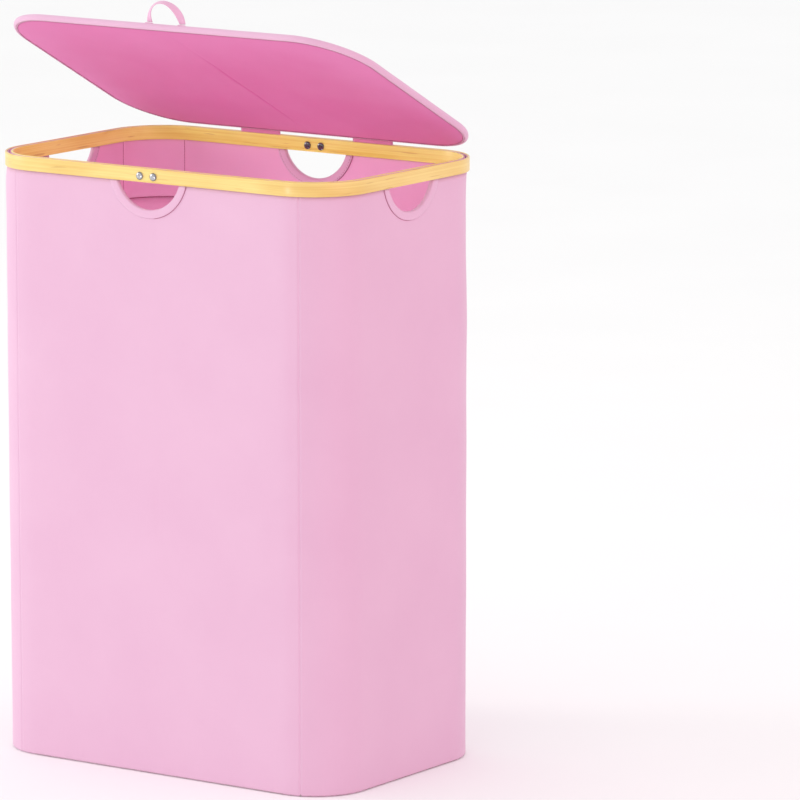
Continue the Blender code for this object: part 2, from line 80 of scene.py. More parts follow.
def gridMesh(name, points, uv=None, wrapRows=False, wrapCols=False, smooth=True):
    # quads over a (rows, cols, 3) array; a wrapped side joins its last line to its first.
    # uv is (rows, cols, 2), one line longer on each wrapped side
    rows, cols = points.shape[:2]
    r = np.arange(rows if wrapRows else rows - 1)
    c = np.arange(cols if wrapCols else cols - 1)
    rr, cc = np.meshgrid(r, c, indexing="ij")
    nextR, nextC = (rr + 1) % rows, (cc + 1) % cols
    quads = np.stack([rr * cols + cc, rr * cols + nextC, nextR * cols + nextC, nextR * cols + cc], -1)
    quads = quads.reshape(-1, 4)
    mesh = bpy.data.meshes.new(name)
    mesh.vertices.add(rows * cols)
    mesh.vertices.foreach_set("co", points.reshape(-1).astype(np.float32))
    mesh.loops.add(quads.size)
    mesh.loops.foreach_set("vertex_index", quads.reshape(-1).astype(np.int32))
    mesh.polygons.add(len(quads))
    mesh.polygons.foreach_set("loop_start", np.arange(0, quads.size, 4, dtype=np.int32))
    mesh.polygons.foreach_set("use_smooth", np.full(len(quads), smooth))
    mesh.update(calc_edges=True)
    if uv is not None:
        corner = np.stack([uv[rr, cc], uv[rr, cc + 1], uv[rr + 1, cc + 1], uv[rr + 1, cc]], -2)
        layer = mesh.uv_layers.new(name="clothUv")
        layer.data.foreach_set("uv", corner.reshape(-1).astype(np.float32))
    mesh.validate()
    return linkMesh(name, mesh)


def uvGrid(u, v):
    # cloth coordinates of a grid: u along its columns, v along its rows
    return np.stack(np.broadcast_arrays(u[None, :], v[:, None]), -1)


def runAlong(path):
    # distance walked along a path at each of its points
    return np.concatenate([[0], np.cumsum(np.linalg.norm(np.diff(path, axis=0), axis=1))])


def sealPoles(item, distance=0.002 * mm):
    # rings drawn down to a point become one vertex, and the faces are turned to look outwards
    shell = bmesh.new()
    shell.from_mesh(item.data)
    bmesh.ops.remove_doubles(shell, verts=shell.verts, dist=distance)
    bmesh.ops.recalc_face_normals(shell, faces=shell.faces)
    shell.to_mesh(item.data)
    shell.free()
    return item


def closeEnds(item, distance=0):
    # the open ends of a tube are filled, and the faces are turned to look outwards
    shell = bmesh.new()
    shell.from_mesh(item.data)
    if distance:
        bmesh.ops.remove_doubles(shell, verts=shell.verts, dist=distance)
    bmesh.ops.holes_fill(shell, edges=[e for e in shell.edges if e.is_boundary], sides=0)
    bmesh.ops.recalc_face_normals(shell, faces=shell.faces)
    shell.to_mesh(item.data)
    shell.free()
    return item


def linkMesh(name, mesh):
    item = bpy.data.objects.new(name, mesh)
    bpy.context.scene.collection.objects.link(item)
    return item


def ripple(u, v, size, seed, waves=7):
    # sum of slow sine waves at scattered headings, scaled to run about from -1 to 1
    draw = np.random.default_rng(seed)
    total = np.zeros(np.broadcast(u, v).shape)
    for wave in range(waves):
        heading = draw.uniform(0, math.pi)
        length = size * draw.uniform(0.6, 1.7)
        phase = draw.uniform(0, 2 * math.pi)
        run = u * math.cos(heading) + v * math.sin(heading)
        total = total + np.sin(2 * math.pi / length * run + phase)
    return total / math.sqrt(waves) / 1.4


def finish(item, body, material, slotName, *nodes):
    # the piece takes its material, rides on its body and stands for its CAD nodes
    item.data.materials.clear()
    item.data.materials.append(material)
    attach(item, body)
    if nodes:
        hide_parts(*nodes)
    return item


def perimeter(shape):
    a, b = shape["halfX"] - shape["corner"], shape["halfY"] - shape["corner"]
    return 4 * a + 4 * b + 2 * math.pi * shape["corner"]


def outlineAt(shape, along):
    # rounded rectangle walked counter-clockwise from the middle of the front: the arc centre moves
    # on the straights, the heading turns on the corners; returns centre and outward normal
    a, b = shape["halfX"] - shape["corner"], shape["halfY"] - shape["corner"]
    arc = math.pi / 2 * shape["corner"]
    knots = np.cumsum([0, a, arc, 2 * b, arc, 2 * a, arc, 2 * b, arc, a])
    centreX = np.interp(along, knots, [0, a, a, a, a, -a, -a, -a, -a, 0])
    centreY = np.interp(along, knots, [-b, -b, -b, b, b, b, b, -b, -b, -b])
    heading = np.interp(along, knots, np.radians([0, 0, 90, 90, 180, 180, 270, 270, 360, 360]))
    return np.stack([centreX, centreY], -1), np.stack([np.sin(heading), -np.cos(heading)], -1)


def ringPoints(shape, along, inset, height):
    # the outline moved in by inset (rows, cols) at a height (rows, cols)
    centre, normal = outlineAt(shape, along)
    reach = shape["corner"] - inset
    x = centre[:, 0] + normal[:, 0] * reach
    y = centre[:, 1] + normal[:, 1] * reach
    return np.stack([x, y, np.broadcast_to(height, x.shape)], -1)


def openingMiddles(shape):
    # distance along the outline to the middle of the front, right, back and left openings
    a, b = shape["halfX"] - shape["corner"], shape["halfY"] - shape["corner"]
    quarter = a + math.pi / 2 * shape["corner"] + b
    return np.array([0, quarter, 2 * quarter, 3 * quarter]) + np.array(list(wallShift.values()))


def cornerSpots(shape, degrees):
    # distance along the outline to a heading within each corner: degrees from the corner's wide-wall end
    a, b = shape["halfX"] - shape["corner"], shape["halfY"] - shape["corner"]
    part = math.radians(degrees) * shape["corner"]
    half = 2 * a + 2 * b + math.pi * shape["corner"]
    return np.array([a + part, half - a - part, half + a + part, 2 * half - a - part])


def fromSpots(shape, along, spots):
    # signed distance from each place on the outline to the nearest of the spots
    whole = perimeter(shape)
    gap = (along[..., None] - spots + whole / 2) % whole - whole / 2
    return np.take_along_axis(gap, np.abs(gap).argmin(-1)[..., None], -1)[..., 0]


def placesAlong(shape, step, seams=(), holes=None):
    # evenly spread places, closer together at seams and, at handle openings, by equal turns of the round
    whole = perimeter(shape)
    base = np.arange(0, whole, step)
    near = np.array([-3, -2, -1.3, -0.7, 0, 0.7, 1.3, 2, 3]) * mm
    found = [base] + [(spot + near) % whole for spot in seams]
    if holes is not None:
        turn = np.linspace(-1, 1, 37) * math.asin(holes["half"] / holes["radius"])
        for middle in openingMiddles(shape):
            base = found[0]
            gap = np.abs((base - middle + whole / 2) % whole - whole / 2)
            found[0] = base[gap > holes["half"] + 1 * mm]
            found.append((middle + holes["radius"] * np.sin(turn)) % whole)
    places = np.unique(np.round(np.concatenate(found), 7))
    return places[np.append(np.diff(places) > 0.05 * mm, True)]


def clothTop(shape, along, level, holes):
    # height of the cloth's upper edge: level, but down round each handle opening
    gap = np.abs(fromSpots(shape, along, openingMiddles(shape)))
    inside = np.minimum(gap, holes["half"])
    arch = holes["centreZ"] - np.sqrt(holes["radius"] ** 2 - inside ** 2)
    return np.where(gap < holes["half"], arch, level)


def plateOf(shape, inset):
    # flat size of a rounded rectangle moved in by inset, and its area
    width, depth = 2 * (shape["halfX"] - inset), 2 * (shape["halfY"] - inset)
    return (width, depth), width * depth - (4 - math.pi) * (shape["corner"] - inset) ** 2


def openingFor(level, radius):
    # the round opening of that radius cut off at a level
    drop = handle["centreZ"] - level
    half = math.sqrt(radius ** 2 - drop ** 2)
    area = radius ** 2 * math.acos(drop / radius) - drop * half
    return {"radius": radius, "centreZ": handle["centreZ"], "half": half, "area": area}


def nodeTree(name):
    material = bpy.data.materials.new(name)
    material.use_nodes = True
    tree = material.node_tree
    return material, tree, tree.nodes["Principled BSDF"]


def addNode(tree, kind, sockets=None, **settings):
    node = tree.nodes.new(kind)
    for key, value in settings.items():
        setattr(node, key, value)
    for key, value in (sockets or {}).items():
        node.inputs[key].default_value = value
    return node


def wire(tree, source, target):
    tree.links.new(source, target)


def mathNode(tree, operation, first, second=None):
    node = addNode(tree, "ShaderNodeMath", operation=operation)
    for index, value in enumerate((first, second)):
        if value is None:
            continue
        if isinstance(value, (int, float)):
            node.inputs[index].default_value = value
        else:
            wire(tree, value, node.inputs[index])
    return node.outputs[0]


def rampNode(tree, source, stops):
    node = addNode(tree, "ShaderNodeValToRGB")
    ramp = node.color_ramp
    while len(ramp.elements) < len(stops):
        ramp.elements.new(0.5)
    for element, (place, colour) in zip(ramp.elements, stops):
        element.position = place
        element.color = (*colour, 1)
    wire(tree, source, node.inputs["Fac"])
    return node.outputs["Color"]


def mixColour(tree, blend, amount, first, second):
    node = addNode(tree, "ShaderNodeMix", data_type="RGBA", blend_type=blend)
    if isinstance(amount, (int, float)):
        node.inputs[0].default_value = amount
    else:
        wire(tree, amount, node.inputs[0])
    wire(tree, first, node.inputs[6])
    wire(tree, second, node.inputs[7])
    return node.outputs[2]


clothFinish = {"pitch": 1.15 * mm, "slub": 0.35, "bump": 0.32, "depth": 0.12 * mm}


def clothMaterial(name, light, deep, pitch=None, roughness=0.86, sheen=0.25):
    # plain weave: thread crowns are the product of two sines of the cloth's own coordinates, with
    # uneven threads each way and slow changes of shade over the piece
    material, tree, shader = nodeTree(name)
    pitch = pitch or clothFinish["pitch"]
    uv = addNode(tree, "ShaderNodeTexCoord")
    split = addNode(tree, "ShaderNodeSeparateXYZ")
    wire(tree, uv.outputs["UV"], split.inputs[0])
    wave = 2 * math.pi / pitch
    across = mathNode(tree, "SINE", mathNode(tree, "MULTIPLY", split.outputs["X"], wave))
    upward = mathNode(tree, "SINE", mathNode(tree, "MULTIPLY", split.outputs["Y"], wave))
    crowns = mathNode(tree, "MULTIPLY", across, upward)
    threads = []
    for stretch in ((1 / (22 * mm), 1 / (0.7 * mm), 1), (1 / (0.7 * mm), 1 / (22 * mm), 1)):
        mapping = addNode(tree, "ShaderNodeMapping", {"Scale": stretch})
        wire(tree, uv.outputs["UV"], mapping.inputs["Vector"])
        slub = addNode(tree, "ShaderNodeTexNoise", {"Scale": 1.0, "Detail": 2.0, "Roughness": 0.6})
        wire(tree, mapping.outputs[0], slub.inputs["Vector"])
        threads.append(slub.outputs["Fac"])
    slubs = mathNode(tree, "ADD", threads[0], threads[1])
    cloud = addNode(tree, "ShaderNodeTexNoise", {"Scale": 9.0, "Detail": 3.0, "Roughness": 0.55})
    wire(tree, uv.outputs["Object"], cloud.inputs["Vector"])
    height = mathNode(tree, "ADD", mathNode(tree, "MULTIPLY", crowns, 0.35),
                      mathNode(tree, "MULTIPLY", slubs, clothFinish["slub"]))
    level = mathNode(tree, "ADD", mathNode(tree, "MULTIPLY", height, 0.45),
                     mathNode(tree, "MULTIPLY", cloud.outputs["Fac"], 0.55))
    # the colour follows the height: weave crowns are painted lighter and hollows deeper, painted shade on
    # the weave; the slubs and the cloud give the cloth's own uneven tone
    colour = rampNode(tree, level, [(0.22, deep), (0.62, light)])
    wire(tree, colour, shader.inputs["Base Color"])
    bump = addNode(tree, "ShaderNodeBump", {
        "Strength": clothFinish["bump"], "Distance": clothFinish["depth"]})
    wire(tree, height, bump.inputs["Height"])
    wire(tree, bump.outputs[0], shader.inputs["Normal"])
    shader.inputs["Roughness"].default_value = roughness
    shader.inputs["Sheen Weight"].default_value = sheen
    shader.inputs["Sheen Roughness"].default_value = 0.5
    shader.inputs["Specular IOR Level"].default_value = 0.25
    return material


bambooFinish = {"knot": (0.50, 0.25, 0.05), "knotLow": 0.655, "knotHigh": 0.72}


def bambooMaterial(name, seed, pale, honey):
    # long fibres from noise stretched along the strip, scattered brown flecks, satin lacquer
    material, tree, shader = nodeTree(name)
    uv = addNode(tree, "ShaderNodeTexCoord")
    fibres = []
    for stretch in ((7, 1600, 1), (3, 420, 1)):
        mapping = addNode(tree, "ShaderNodeMapping", {"Scale": stretch, "Location": (seed, 0, seed)})
        wire(tree, uv.outputs["UV"], mapping.inputs["Vector"])
        noise = addNode(tree, "ShaderNodeTexNoise", {"Scale": 1.0, "Detail": 5.0, "Roughness": 0.6})
        wire(tree, mapping.outputs[0], noise.inputs["Vector"])
        fibres.append(noise.outputs["Fac"])
    patchMap = addNode(tree, "ShaderNodeMapping", {"Scale": (9, 30, 1), "Location": (seed * 3, 0, 0)})
    wire(tree, uv.outputs["UV"], patchMap.inputs["Vector"])
    patch = addNode(tree, "ShaderNodeTexNoise", {"Scale": 1.0, "Detail": 2.0})
    wire(tree, patchMap.outputs[0], patch.inputs["Vector"])
    grain = mathNode(tree, "ADD", mathNode(tree, "MULTIPLY", fibres[0], 0.5),
                     mathNode(tree, "MULTIPLY", fibres[1], 0.5))
    shade = mathNode(tree, "ADD", mathNode(tree, "MULTIPLY", grain, 0.6),
                     mathNode(tree, "MULTIPLY", patch.outputs["Fac"], 0.4))
    base = rampNode(tree, shade, [(0.38, honey), (0.58, pale)])
    knotMap = addNode(tree, "ShaderNodeMapping", {"Scale": (24, 330, 1), "Location": (seed * 7, seed, 0)})
    wire(tree, uv.outputs["UV"], knotMap.inputs["Vector"])
    knots = addNode(tree, "ShaderNodeTexNoise", {"Scale": 1.0, "Detail": 1.0})
    wire(tree, knotMap.outputs[0], knots.inputs["Vector"])
    soft = addNode(tree, "ShaderNodeMapRange", {"To Max": 0.38})
    soft.inputs["From Min"].default_value = bambooFinish["knotLow"]
    soft.inputs["From Max"].default_value = bambooFinish["knotHigh"]
    wire(tree, knots.outputs["Fac"], soft.inputs["Value"])
    dark = addNode(tree, "ShaderNodeRGB")
    dark.outputs[0].default_value = (*bambooFinish["knot"], 1)
    wire(tree, mixColour(tree, "MIX", soft.outputs[0], base, dark.outputs[0]), shader.inputs["Base Color"])
    rough = addNode(tree, "ShaderNodeMapRange", {"To Min": 0.28, "To Max": 0.5})
    wire(tree, grain, rough.inputs["Value"])
    wire(tree, rough.outputs[0], shader.inputs["Roughness"])
    bump = addNode(tree, "ShaderNodeBump", {"Strength": 0.25, "Distance": 0.1 * mm})
    wire(tree, grain, bump.inputs["Height"])
    wire(tree, bump.outputs[0], shader.inputs["Normal"])
    shader.inputs["Coat Weight"].default_value = 0.35
    shader.inputs["Coat Roughness"].default_value = 0.2
    return material


def metalMaterial(name, light, deep, roughLow, roughHigh):
    # plated metal with fine scratches and slightly uneven polish
    material, tree, shader = nodeTree(name)
    place = addNode(tree, "ShaderNodeTexCoord")
    wear = addNode(tree, "ShaderNodeTexNoise", {"Scale": 900.0, "Detail": 4.0})
    wire(tree, place.outputs["Object"], wear.inputs["Vector"])
    shade = rampNode(tree, wear.outputs["Fac"], [(0.35, deep), (0.65, light)])
    wire(tree, shade, shader.inputs["Base Color"])
    rough = addNode(tree, "ShaderNodeMapRange", {"To Min": roughLow, "To Max": roughHigh})
    wire(tree, wear.outputs["Fac"], rough.inputs["Value"])
    wire(tree, rough.outputs[0], shader.inputs["Roughness"])
    shader.inputs["Metallic"].default_value = 1.0
    return material


def boardMaterial(name):
    # pressed grey board: flecks over a mottled ground
    material, tree, shader = nodeTree(name)
    place = addNode(tree, "ShaderNodeTexCoord")
    fleck = addNode(tree, "ShaderNodeTexNoise", {"Scale": 700.0, "Detail": 6.0, "Roughness": 0.7})
    wire(tree, place.outputs["Object"], fleck.inputs["Vector"])
    colour = rampNode(tree, fleck.outputs["Fac"], [(0.3, (0.22, 0.19, 0.16)), (0.7, (0.42, 0.38, 0.33))])
    wire(tree, colour, shader.inputs["Base Color"])
    bump = addNode(tree, "ShaderNodeBump", {"Strength": 0.3, "Distance": 0.1 * mm})
    wire(tree, fleck.outputs["Fac"], bump.inputs["Height"])
    wire(tree, bump.outputs[0], shader.inputs["Normal"])
    shader.inputs["Roughness"].default_value = 0.92
    return material


shades = {
    "canvasLight": (0.74, 0.467, 0.62), "canvasDeep": (0.70, 0.42, 0.58),
    # the walls' lining (liningLight, liningDeep) and the lid's lining (lidLight, lidDeep) are one cloth in
    # two copies: the walls' copy is painted paler, painted light for the dim inside, and the lid's copy is
    # painted deeper, painted shade for its underside
    "liningLight": (0.88, 0.485, 0.70), "liningDeep": (0.85, 0.425, 0.64),
    "lidLight": (0.72, 0.21, 0.46), "lidDeep": (0.67, 0.14, 0.38),
    # strap colours are painted brighter and pinker than the canvas: painted light that makes up for the
    # shade the straps sit in
    "strapLight": (0.96, 0.40, 0.68), "strapDeep": (0.90, 0.33, 0.60),
    "tapeLight": (0.79, 0.47, 0.64), "tapeDeep": (0.75, 0.425, 0.59),
    "thread": (0.86, 0.56, 0.73), "threadDark": (0.42, 0.06, 0.17), "threadDeep": (0.30, 0.03, 0.10),
    "outerPale": (0.87, 0.67, 0.23), "outerHoney": (0.72, 0.46, 0.11),
    # the inner band's colours are painted paler and yellower than the outer band's: painted light that
    # makes up for the shade and the pink bounce light inside the hoop
    "innerPale": (0.99, 0.93, 0.25), "innerHoney": (0.82, 0.65, 0.10),
    "postLight": (0.54, 0.54, 0.56), "postDeep": (0.34, 0.34, 0.37),
    "screwLight": (0.24, 0.24, 0.25), "screwDeep": (0.09, 0.09, 0.10),
}
canvasCloth = clothMaterial("canvasCloth", shades["canvasLight"], shades["canvasDeep"])
# lit and shaded copies of the one lining cloth: painted light on the walls, painted shade under the lid
liningClothLit = clothMaterial("liningClothLit", shades["liningLight"], shades["liningDeep"], sheen=0.12)
liningClothShaded = clothMaterial("liningClothShaded", shades["lidLight"], shades["lidDeep"], sheen=0.12)
tapeCloth = clothMaterial("tapeCloth", shades["tapeLight"], shades["tapeDeep"], pitch=0.9 * mm)
# the straps' cloth, brightened: painted light
strapClothBrightened = clothMaterial("strapClothBrightened", shades["strapLight"], shades["strapDeep"], pitch=0.9 * mm)
threadPale = clothMaterial("threadPale", shades["thread"], shades["canvasDeep"], pitch=0.35 * mm)
threadDark = clothMaterial("threadDark", shades["threadDark"], shades["threadDeep"], pitch=0.35 * mm)
bambooOuter = bambooMaterial("bambooOuter", 0.0, shades["outerPale"], shades["outerHoney"])
# inner band: the bamboo brightened, painted light
bambooInnerLit = bambooMaterial("bambooInnerLit", 4.7, shades["innerPale"], shades["innerHoney"])
postMetal = metalMaterial("postMetal", shades["postLight"], shades["postDeep"], 0.16, 0.34)
screwMetal = metalMaterial("screwMetal", shades["screwLight"], shades["screwDeep"], 0.15, 0.32)
greyBoard = boardMaterial("greyBoard")
print("materials made")


# the outer canvas, four panels sewn into one tube, and the cloth under the base
canvas = {
    # sag and full are given for the front right, back right, back left and front left corners
    "thickness": 0.9 * mm, "step": 6 * mm, "rows": 96, "turn": 3 * mm, "under": 9 * mm, "foot": 0.15 * mm,
    "seamDegrees": 20, "seamDepth": 0.5 * mm, "seamWidth": 0.9 * mm, "taper": 0.7 * mm,
    "sag": (1.6 * mm, 1.6 * mm, 1.6 * mm, 0.2 * mm), "sagReach": 150 * mm, "wave": 0.22 * mm,
    "full": (0, 0, 0, 2.3 * mm), "fullReach": 14 * mm,
}
clothLevel = bandBottom + 1.0 * mm        # where the wall cloth passes up between the bands
wallOpening = openingFor(clothLevel, handle["clear"] + 1.1 * mm)
canvasSeams = cornerSpots(hoop, canvas["seamDegrees"])


def atCorners(along, amounts):
    # each corner's own amount in its middle, falling as a squared cosine to nought on the flat walls
    whole = perimeter(hoop)
    gap = (along[..., None] - cornerSpots(hoop, 45) + whole / 2) % whole - whole / 2
    reach = hoop["corner"] * math.pi / 4
    return np.cos(np.clip(np.abs(gap) / reach, 0, 1) * math.pi / 2) ** 2 @ np.array(amounts)


def canvasGive(along, z):
    # how far the canvas stands in from its straight outline: taper to the base, corners that draw in
    # below the hoop or stand out full, a sewn groove on each corner, and slow ripples
    up = np.clip(z / bandBottom, 0, 1)
    taper = canvas["taper"] * (1 - up)
    below = np.clip((bandBottom - z) / canvas["sagReach"], 0, 1)
    sag = np.sin(math.pi * np.sqrt(below)) * atCorners(along, canvas["sag"])
    rise = np.sqrt(np.clip((bandBottom - z) / canvas["fullReach"], 0, 1)) * (0.7 + 0.3 * up)
    full = rise * atCorners(along, canvas["full"])
    seam = fromSpots(hoop, along, canvasSeams)
    groove = canvas["seamDepth"] * np.exp(-(seam / canvas["seamWidth"]) ** 2)
    ridge = 0.35 * canvas["seamDepth"] * np.exp(-((np.abs(seam) - 2.4 * mm) / (1.1 * mm)) ** 2)
    fade = np.clip((bandBottom - z) / (30 * mm), 0, 1) * np.clip(z / (20 * mm), 0, 1)
    slow = canvas["wave"] * ripple(along, z, 0.19, 5) + 0.3 * canvas["wave"] * ripple(along, z, 0.05, 6)
    return taper + sag - full + groove - ridge + slow * fade


def makeOuterCanvas():
    # rows climb the outer face from under the base, cross the cloth's edge and come down inside
    along = placesAlong(hoop, canvas["step"], canvasSeams, wallOpening)
    top = clothTop(hoop, along, clothLevel, wallOpening)
    turn = canvas["turn"]
    swing = np.linspace(0, math.pi / 2, 7)
    underInset = np.concatenate([[canvas["under"]], turn * (1 - np.sin(swing))])
    underZ = canvas["foot"] + np.concatenate([[0], turn * (1 - np.cos(swing))])
    share = np.arange(1, canvas["rows"] + 1) / canvas["rows"]
    base = underZ[-1]
    wallZ = base + share[:, None] * (top - base)
    outerZ = np.vstack([np.repeat(underZ[:, None], len(along), 1), wallZ])
    extra = np.concatenate([underInset, np.zeros(len(share))])[:, None]
    give = canvasGive(along[None, :], outerZ)
    outerIn = canvasInset + extra + give
    back = slice(None, None, -2)        # half as many rows come down the inner face
    innerZ = np.vstack([outerZ[-1:], outerZ[back][1:]])
    innerZ = np.maximum(innerZ, canvas["foot"] + canvas["thickness"])
    innerIn = np.vstack([outerIn[-1:], outerIn[back][1:]]) + canvas["thickness"]
    z = np.vstack([outerZ, innerZ])
    inset = np.vstack([outerIn, innerIn])
    points = ringPoints(hoop, along, inset, z)
    down = np.linspace(clothLevel, 0, len(innerZ))
    v = np.concatenate([underZ, base + share * (clothLevel - base), down, [-1 * mm]])
    uv = uvGrid(np.append(along, perimeter(hoop)), v)
    item = gridMesh("outerCanvas", points, uv, wrapRows=True, wrapCols=True)
    names = ["canvas_front", "canvas_back", "canvas_left", "canvas_right"]
    finish(item, "body", canvasCloth, "canvas", *names)


def makeBottomCloth():
    # flat cloth under the base: rings drawn in from the outline to a point, thin edge, and back out
    along = placesAlong(hoop, 8 * mm)
    inset = canvasInset + canvas["under"] - 3 * mm
    low, high = 0.05 * mm, 0.95 * mm
    shares = np.concatenate([np.linspace(0.001, 1, 14), np.linspace(1, 0.001, 6)])
    heights = np.concatenate([np.full(14, low), np.full(6, high)])
    edge = ringPoints(hoop, along, np.full((1, len(along)), inset), low)[0]
    points = edge[None] * shares[:, None, None]
    points[..., 2] = heights[:, None]
    uv = np.concatenate([points[..., :2], points[:, :1, :2]], 1)
    item = sealPoles(gridMesh("bottomCloth", points, uv, wrapCols=True))
    finish(item, "body", canvasCloth, "canvas", "bottom_panel")


makeOuterCanvas()
makeBottomCloth()
print("outer canvas made")


# the lining under the facing's seam, the facing above it, and the floor cloth
lining = {
    "thickness": 0.7 * mm, "step": 7 * mm, "seamDepth": 0.45 * mm, "wave": 0.3 * mm, "gap": 0.3 * mm,
    "seamDegrees": (12.6, 83), "pucker": 0.12 * mm,
}
liningSeams = np.concatenate([cornerSpots(hoop, degrees) for degrees in lining["seamDegrees"]])


def liningGive(along, z):
    # how far the lining stands further in: upright grooves, puckers beside the long seam, slow ripples
    seam = fromSpots(hoop, along, liningSeams)
    groove = lining["seamDepth"] * np.exp(-(seam / (0.9 * mm)) ** 2)
    ridge = 0.4 * lining["seamDepth"] * np.exp(-((np.abs(seam) - 2.2 * mm) / (1.2 * mm)) ** 2)
    near = np.exp(-((z - facingBottom) / (7 * mm)) ** 2)
    pucker = lining["pucker"] * near * np.sin(along / (3.1 * mm))
    slow = lining["wave"] * ripple(along, z, 0.16, 11)
    return ridge - groove + pucker + slow * np.clip((bandBottom - z) / (30 * mm), 0, 1)


def makeLiningTube(name, node, bottom, top, rows, opening=None):
    # rows climb the hidden face, cross the upper edge and come down the face that shows
    along = placesAlong(hoop, lining["step"], liningSeams, opening)
    if opening is None:
        edge = np.full(len(along), top)
    else:
        edge = clothTop(hoop, along, top, opening)
    share = np.linspace(0, 1, rows)[:, None]
    hiddenZ = bottom + np.linspace(0, 1, 5)[:, None] * (edge - bottom)
    shownZ = bottom + share[::-1] * (edge - bottom)
    hidden = facingInset + np.zeros_like(hiddenZ)
    rounding = np.zeros(rows)
    rounding[0] = rounding[-1] = -0.3 * mm
    shown = facingInset + lining["thickness"] + liningGive(along[None], shownZ) + rounding[:, None]
    points = ringPoints(hoop, along, np.vstack([hidden, shown]), np.vstack([hiddenZ, shownZ]))
    v = np.concatenate([np.linspace(0, 1, 5) * (top - bottom), share[::-1, 0] * (top - bottom), [0]])
    uv = uvGrid(np.append(along, perimeter(hoop)), v)
    item = gridMesh(name, points, uv, wrapRows=True, wrapCols=True)
    finish(item, "body", liningClothLit, "lining", node)


def makeLiningFloor():
    # floor cloth: rings drawn in to a point, with slow ripples on the upper side
    along = placesAlong(hoop, 8 * mm)
    shares = np.concatenate([np.linspace(0.001, 1, 6), np.linspace(1, 0.001, 22)])
    inset = facingInset + lining["thickness"] + 0.4 * mm
    edge = ringPoints(hoop, along, np.full((1, len(along)), inset), 0.0)[0]
    points = edge[None] * shares[:, None, None]
    wave = 0.25 * mm * ripple(points[..., 0], points[..., 1], 0.14, 21)
    upper = np.arange(len(shares)) >= 6
    points[..., 2] = floorTop - 0.6 * mm + upper[:, None] * (0.6 * mm + wave * (1 - shares[:, None] ** 6))
    uv = np.concatenate([points[..., :2], points[:, :1, :2]], 1)
    item = sealPoles(gridMesh("liningFloor", points, uv, wrapCols=True))
    finish(item, "body", liningClothLit, "lining", "lining_floor")


makeLiningTube("liningWall", "lining_wall", floorTop + lining["gap"], facingBottom - lining["gap"], 60)
makeLiningTube("liningFacing", "lining_facing", facingBottom, clothLevel, 22, wallOpening)
makeLiningFloor()
print("lining made")


def clampedRing(name, inset, thickness, material, slotName):
    # plain strip of cloth up between the two bands, seen as a thin line from above
    along = placesAlong(hoop, 6 * mm)
    low, high = clothLevel - 0.4 * mm, rimTop - 0.5 * mm
    ease = 0.15 * mm
    profile = np.array([
        (inset, low), (inset, high - ease), (inset + ease, high), (inset + thickness - ease, high),
        (inset + thickness, high - ease), (inset + thickness, low),
    ])
    ins = np.repeat(profile[:, :1], len(along), 1)
    fray = 0.12 * mm * ripple(along, along * 0, 0.013, 31)
    z = np.repeat(profile[:, 1:], len(along), 1)
    z[2:4] += fray
    points = ringPoints(hoop, along, ins, z)
    v = np.array([0, 12, 12.2, 12.8, 13, 25, 26]) * mm
    uv = uvGrid(np.append(along, perimeter(hoop)), v)
    return finish(gridMesh(name, points, uv, True, True), "body", material, slotName)


clampedRing("clampedCanvas", canvasInset, canvas["thickness"], canvasCloth, "canvas")
clampedRing("clampedFacing", facingInset, lining["thickness"], liningClothLit, "lining")
print("clamped cloth made")


# the bamboo hoop, an outer and an inner band
band = {
    "outerThickness": 2.3 * mm, "innerThickness": 2.2 * mm, "round": 0.75 * mm, "roundSteps": 4,
    "step": 3.5 * mm, "wave": 0.06 * mm,
}


def bandProfile(inner, outer, low, high, rounding, steps):
    # rectangle of (inset, height) with a quarter round at each corner, walked up the outer face
    turn = np.linspace(0, math.pi / 2, steps + 1)
    near, far = outer + rounding, inner - rounding
    top, base = high - rounding, low + rounding
    corners = [(near, top, math.pi), (far, top, math.pi / 2), (far, base, 0), (near, base, -math.pi / 2)]
    spots = []
    for x, z, start in corners:
        angle = start - turn
        spots.append(np.stack([x + rounding * np.cos(angle), z + rounding * np.sin(angle)], -1))
    return np.vstack(spots)


def makeBand(name, node, thickness, material):
    # the profile carried round the outline, a little uneven as steam-bent strip is
    low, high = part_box(node)
    outer = hoop["halfX"] - high.x
    profile = bandProfile(outer + thickness, outer, low.z, high.z, band["round"], band["roundSteps"])
    along = placesAlong(hoop, band["step"])
    inset = np.repeat(profile[:, :1], len(along), 1)
    z = np.repeat(profile[:, 1:], len(along), 1)
    z = z + band["wave"] * ripple(along, along * 0, 0.12, 41) * np.sign(z - (low.z + high.z) / 2)
    points = ringPoints(hoop, along, inset, z)
    length = runAlong(np.vstack([profile, profile[:1]]))
    uv = uvGrid(np.append(along, perimeter(hoop)), length)
    item = gridMesh(name, points, uv, True, True)
    return finish(item, "body", material, "bamboo", node)


makeBand("hoopOuter", "rim_outer", band["outerThickness"], bambooOuter)
makeBand("hoopInner", "rim_inner", band["innerThickness"], bambooInnerLit)
print("hoop made")


# how far each wall is turned from the front one
wallTurns = {"front": 0.0, "right": math.pi / 2, "back": math.pi, "left": 1.5 * math.pi}


def onWall(wall, across, inset, height):
    # point on a wall: across it, in from the hoop's outer face, at a height
    turn = wallTurns[wall]
    reach = hoop["halfY"] if wall in ("front", "back") else hoop["halfX"]
    y = inset - reach
    x = across * math.cos(turn) - y * math.sin(turn)
    return np.stack(np.broadcast_arrays(x, across * math.sin(turn) + y * math.cos(turn), height), -1)


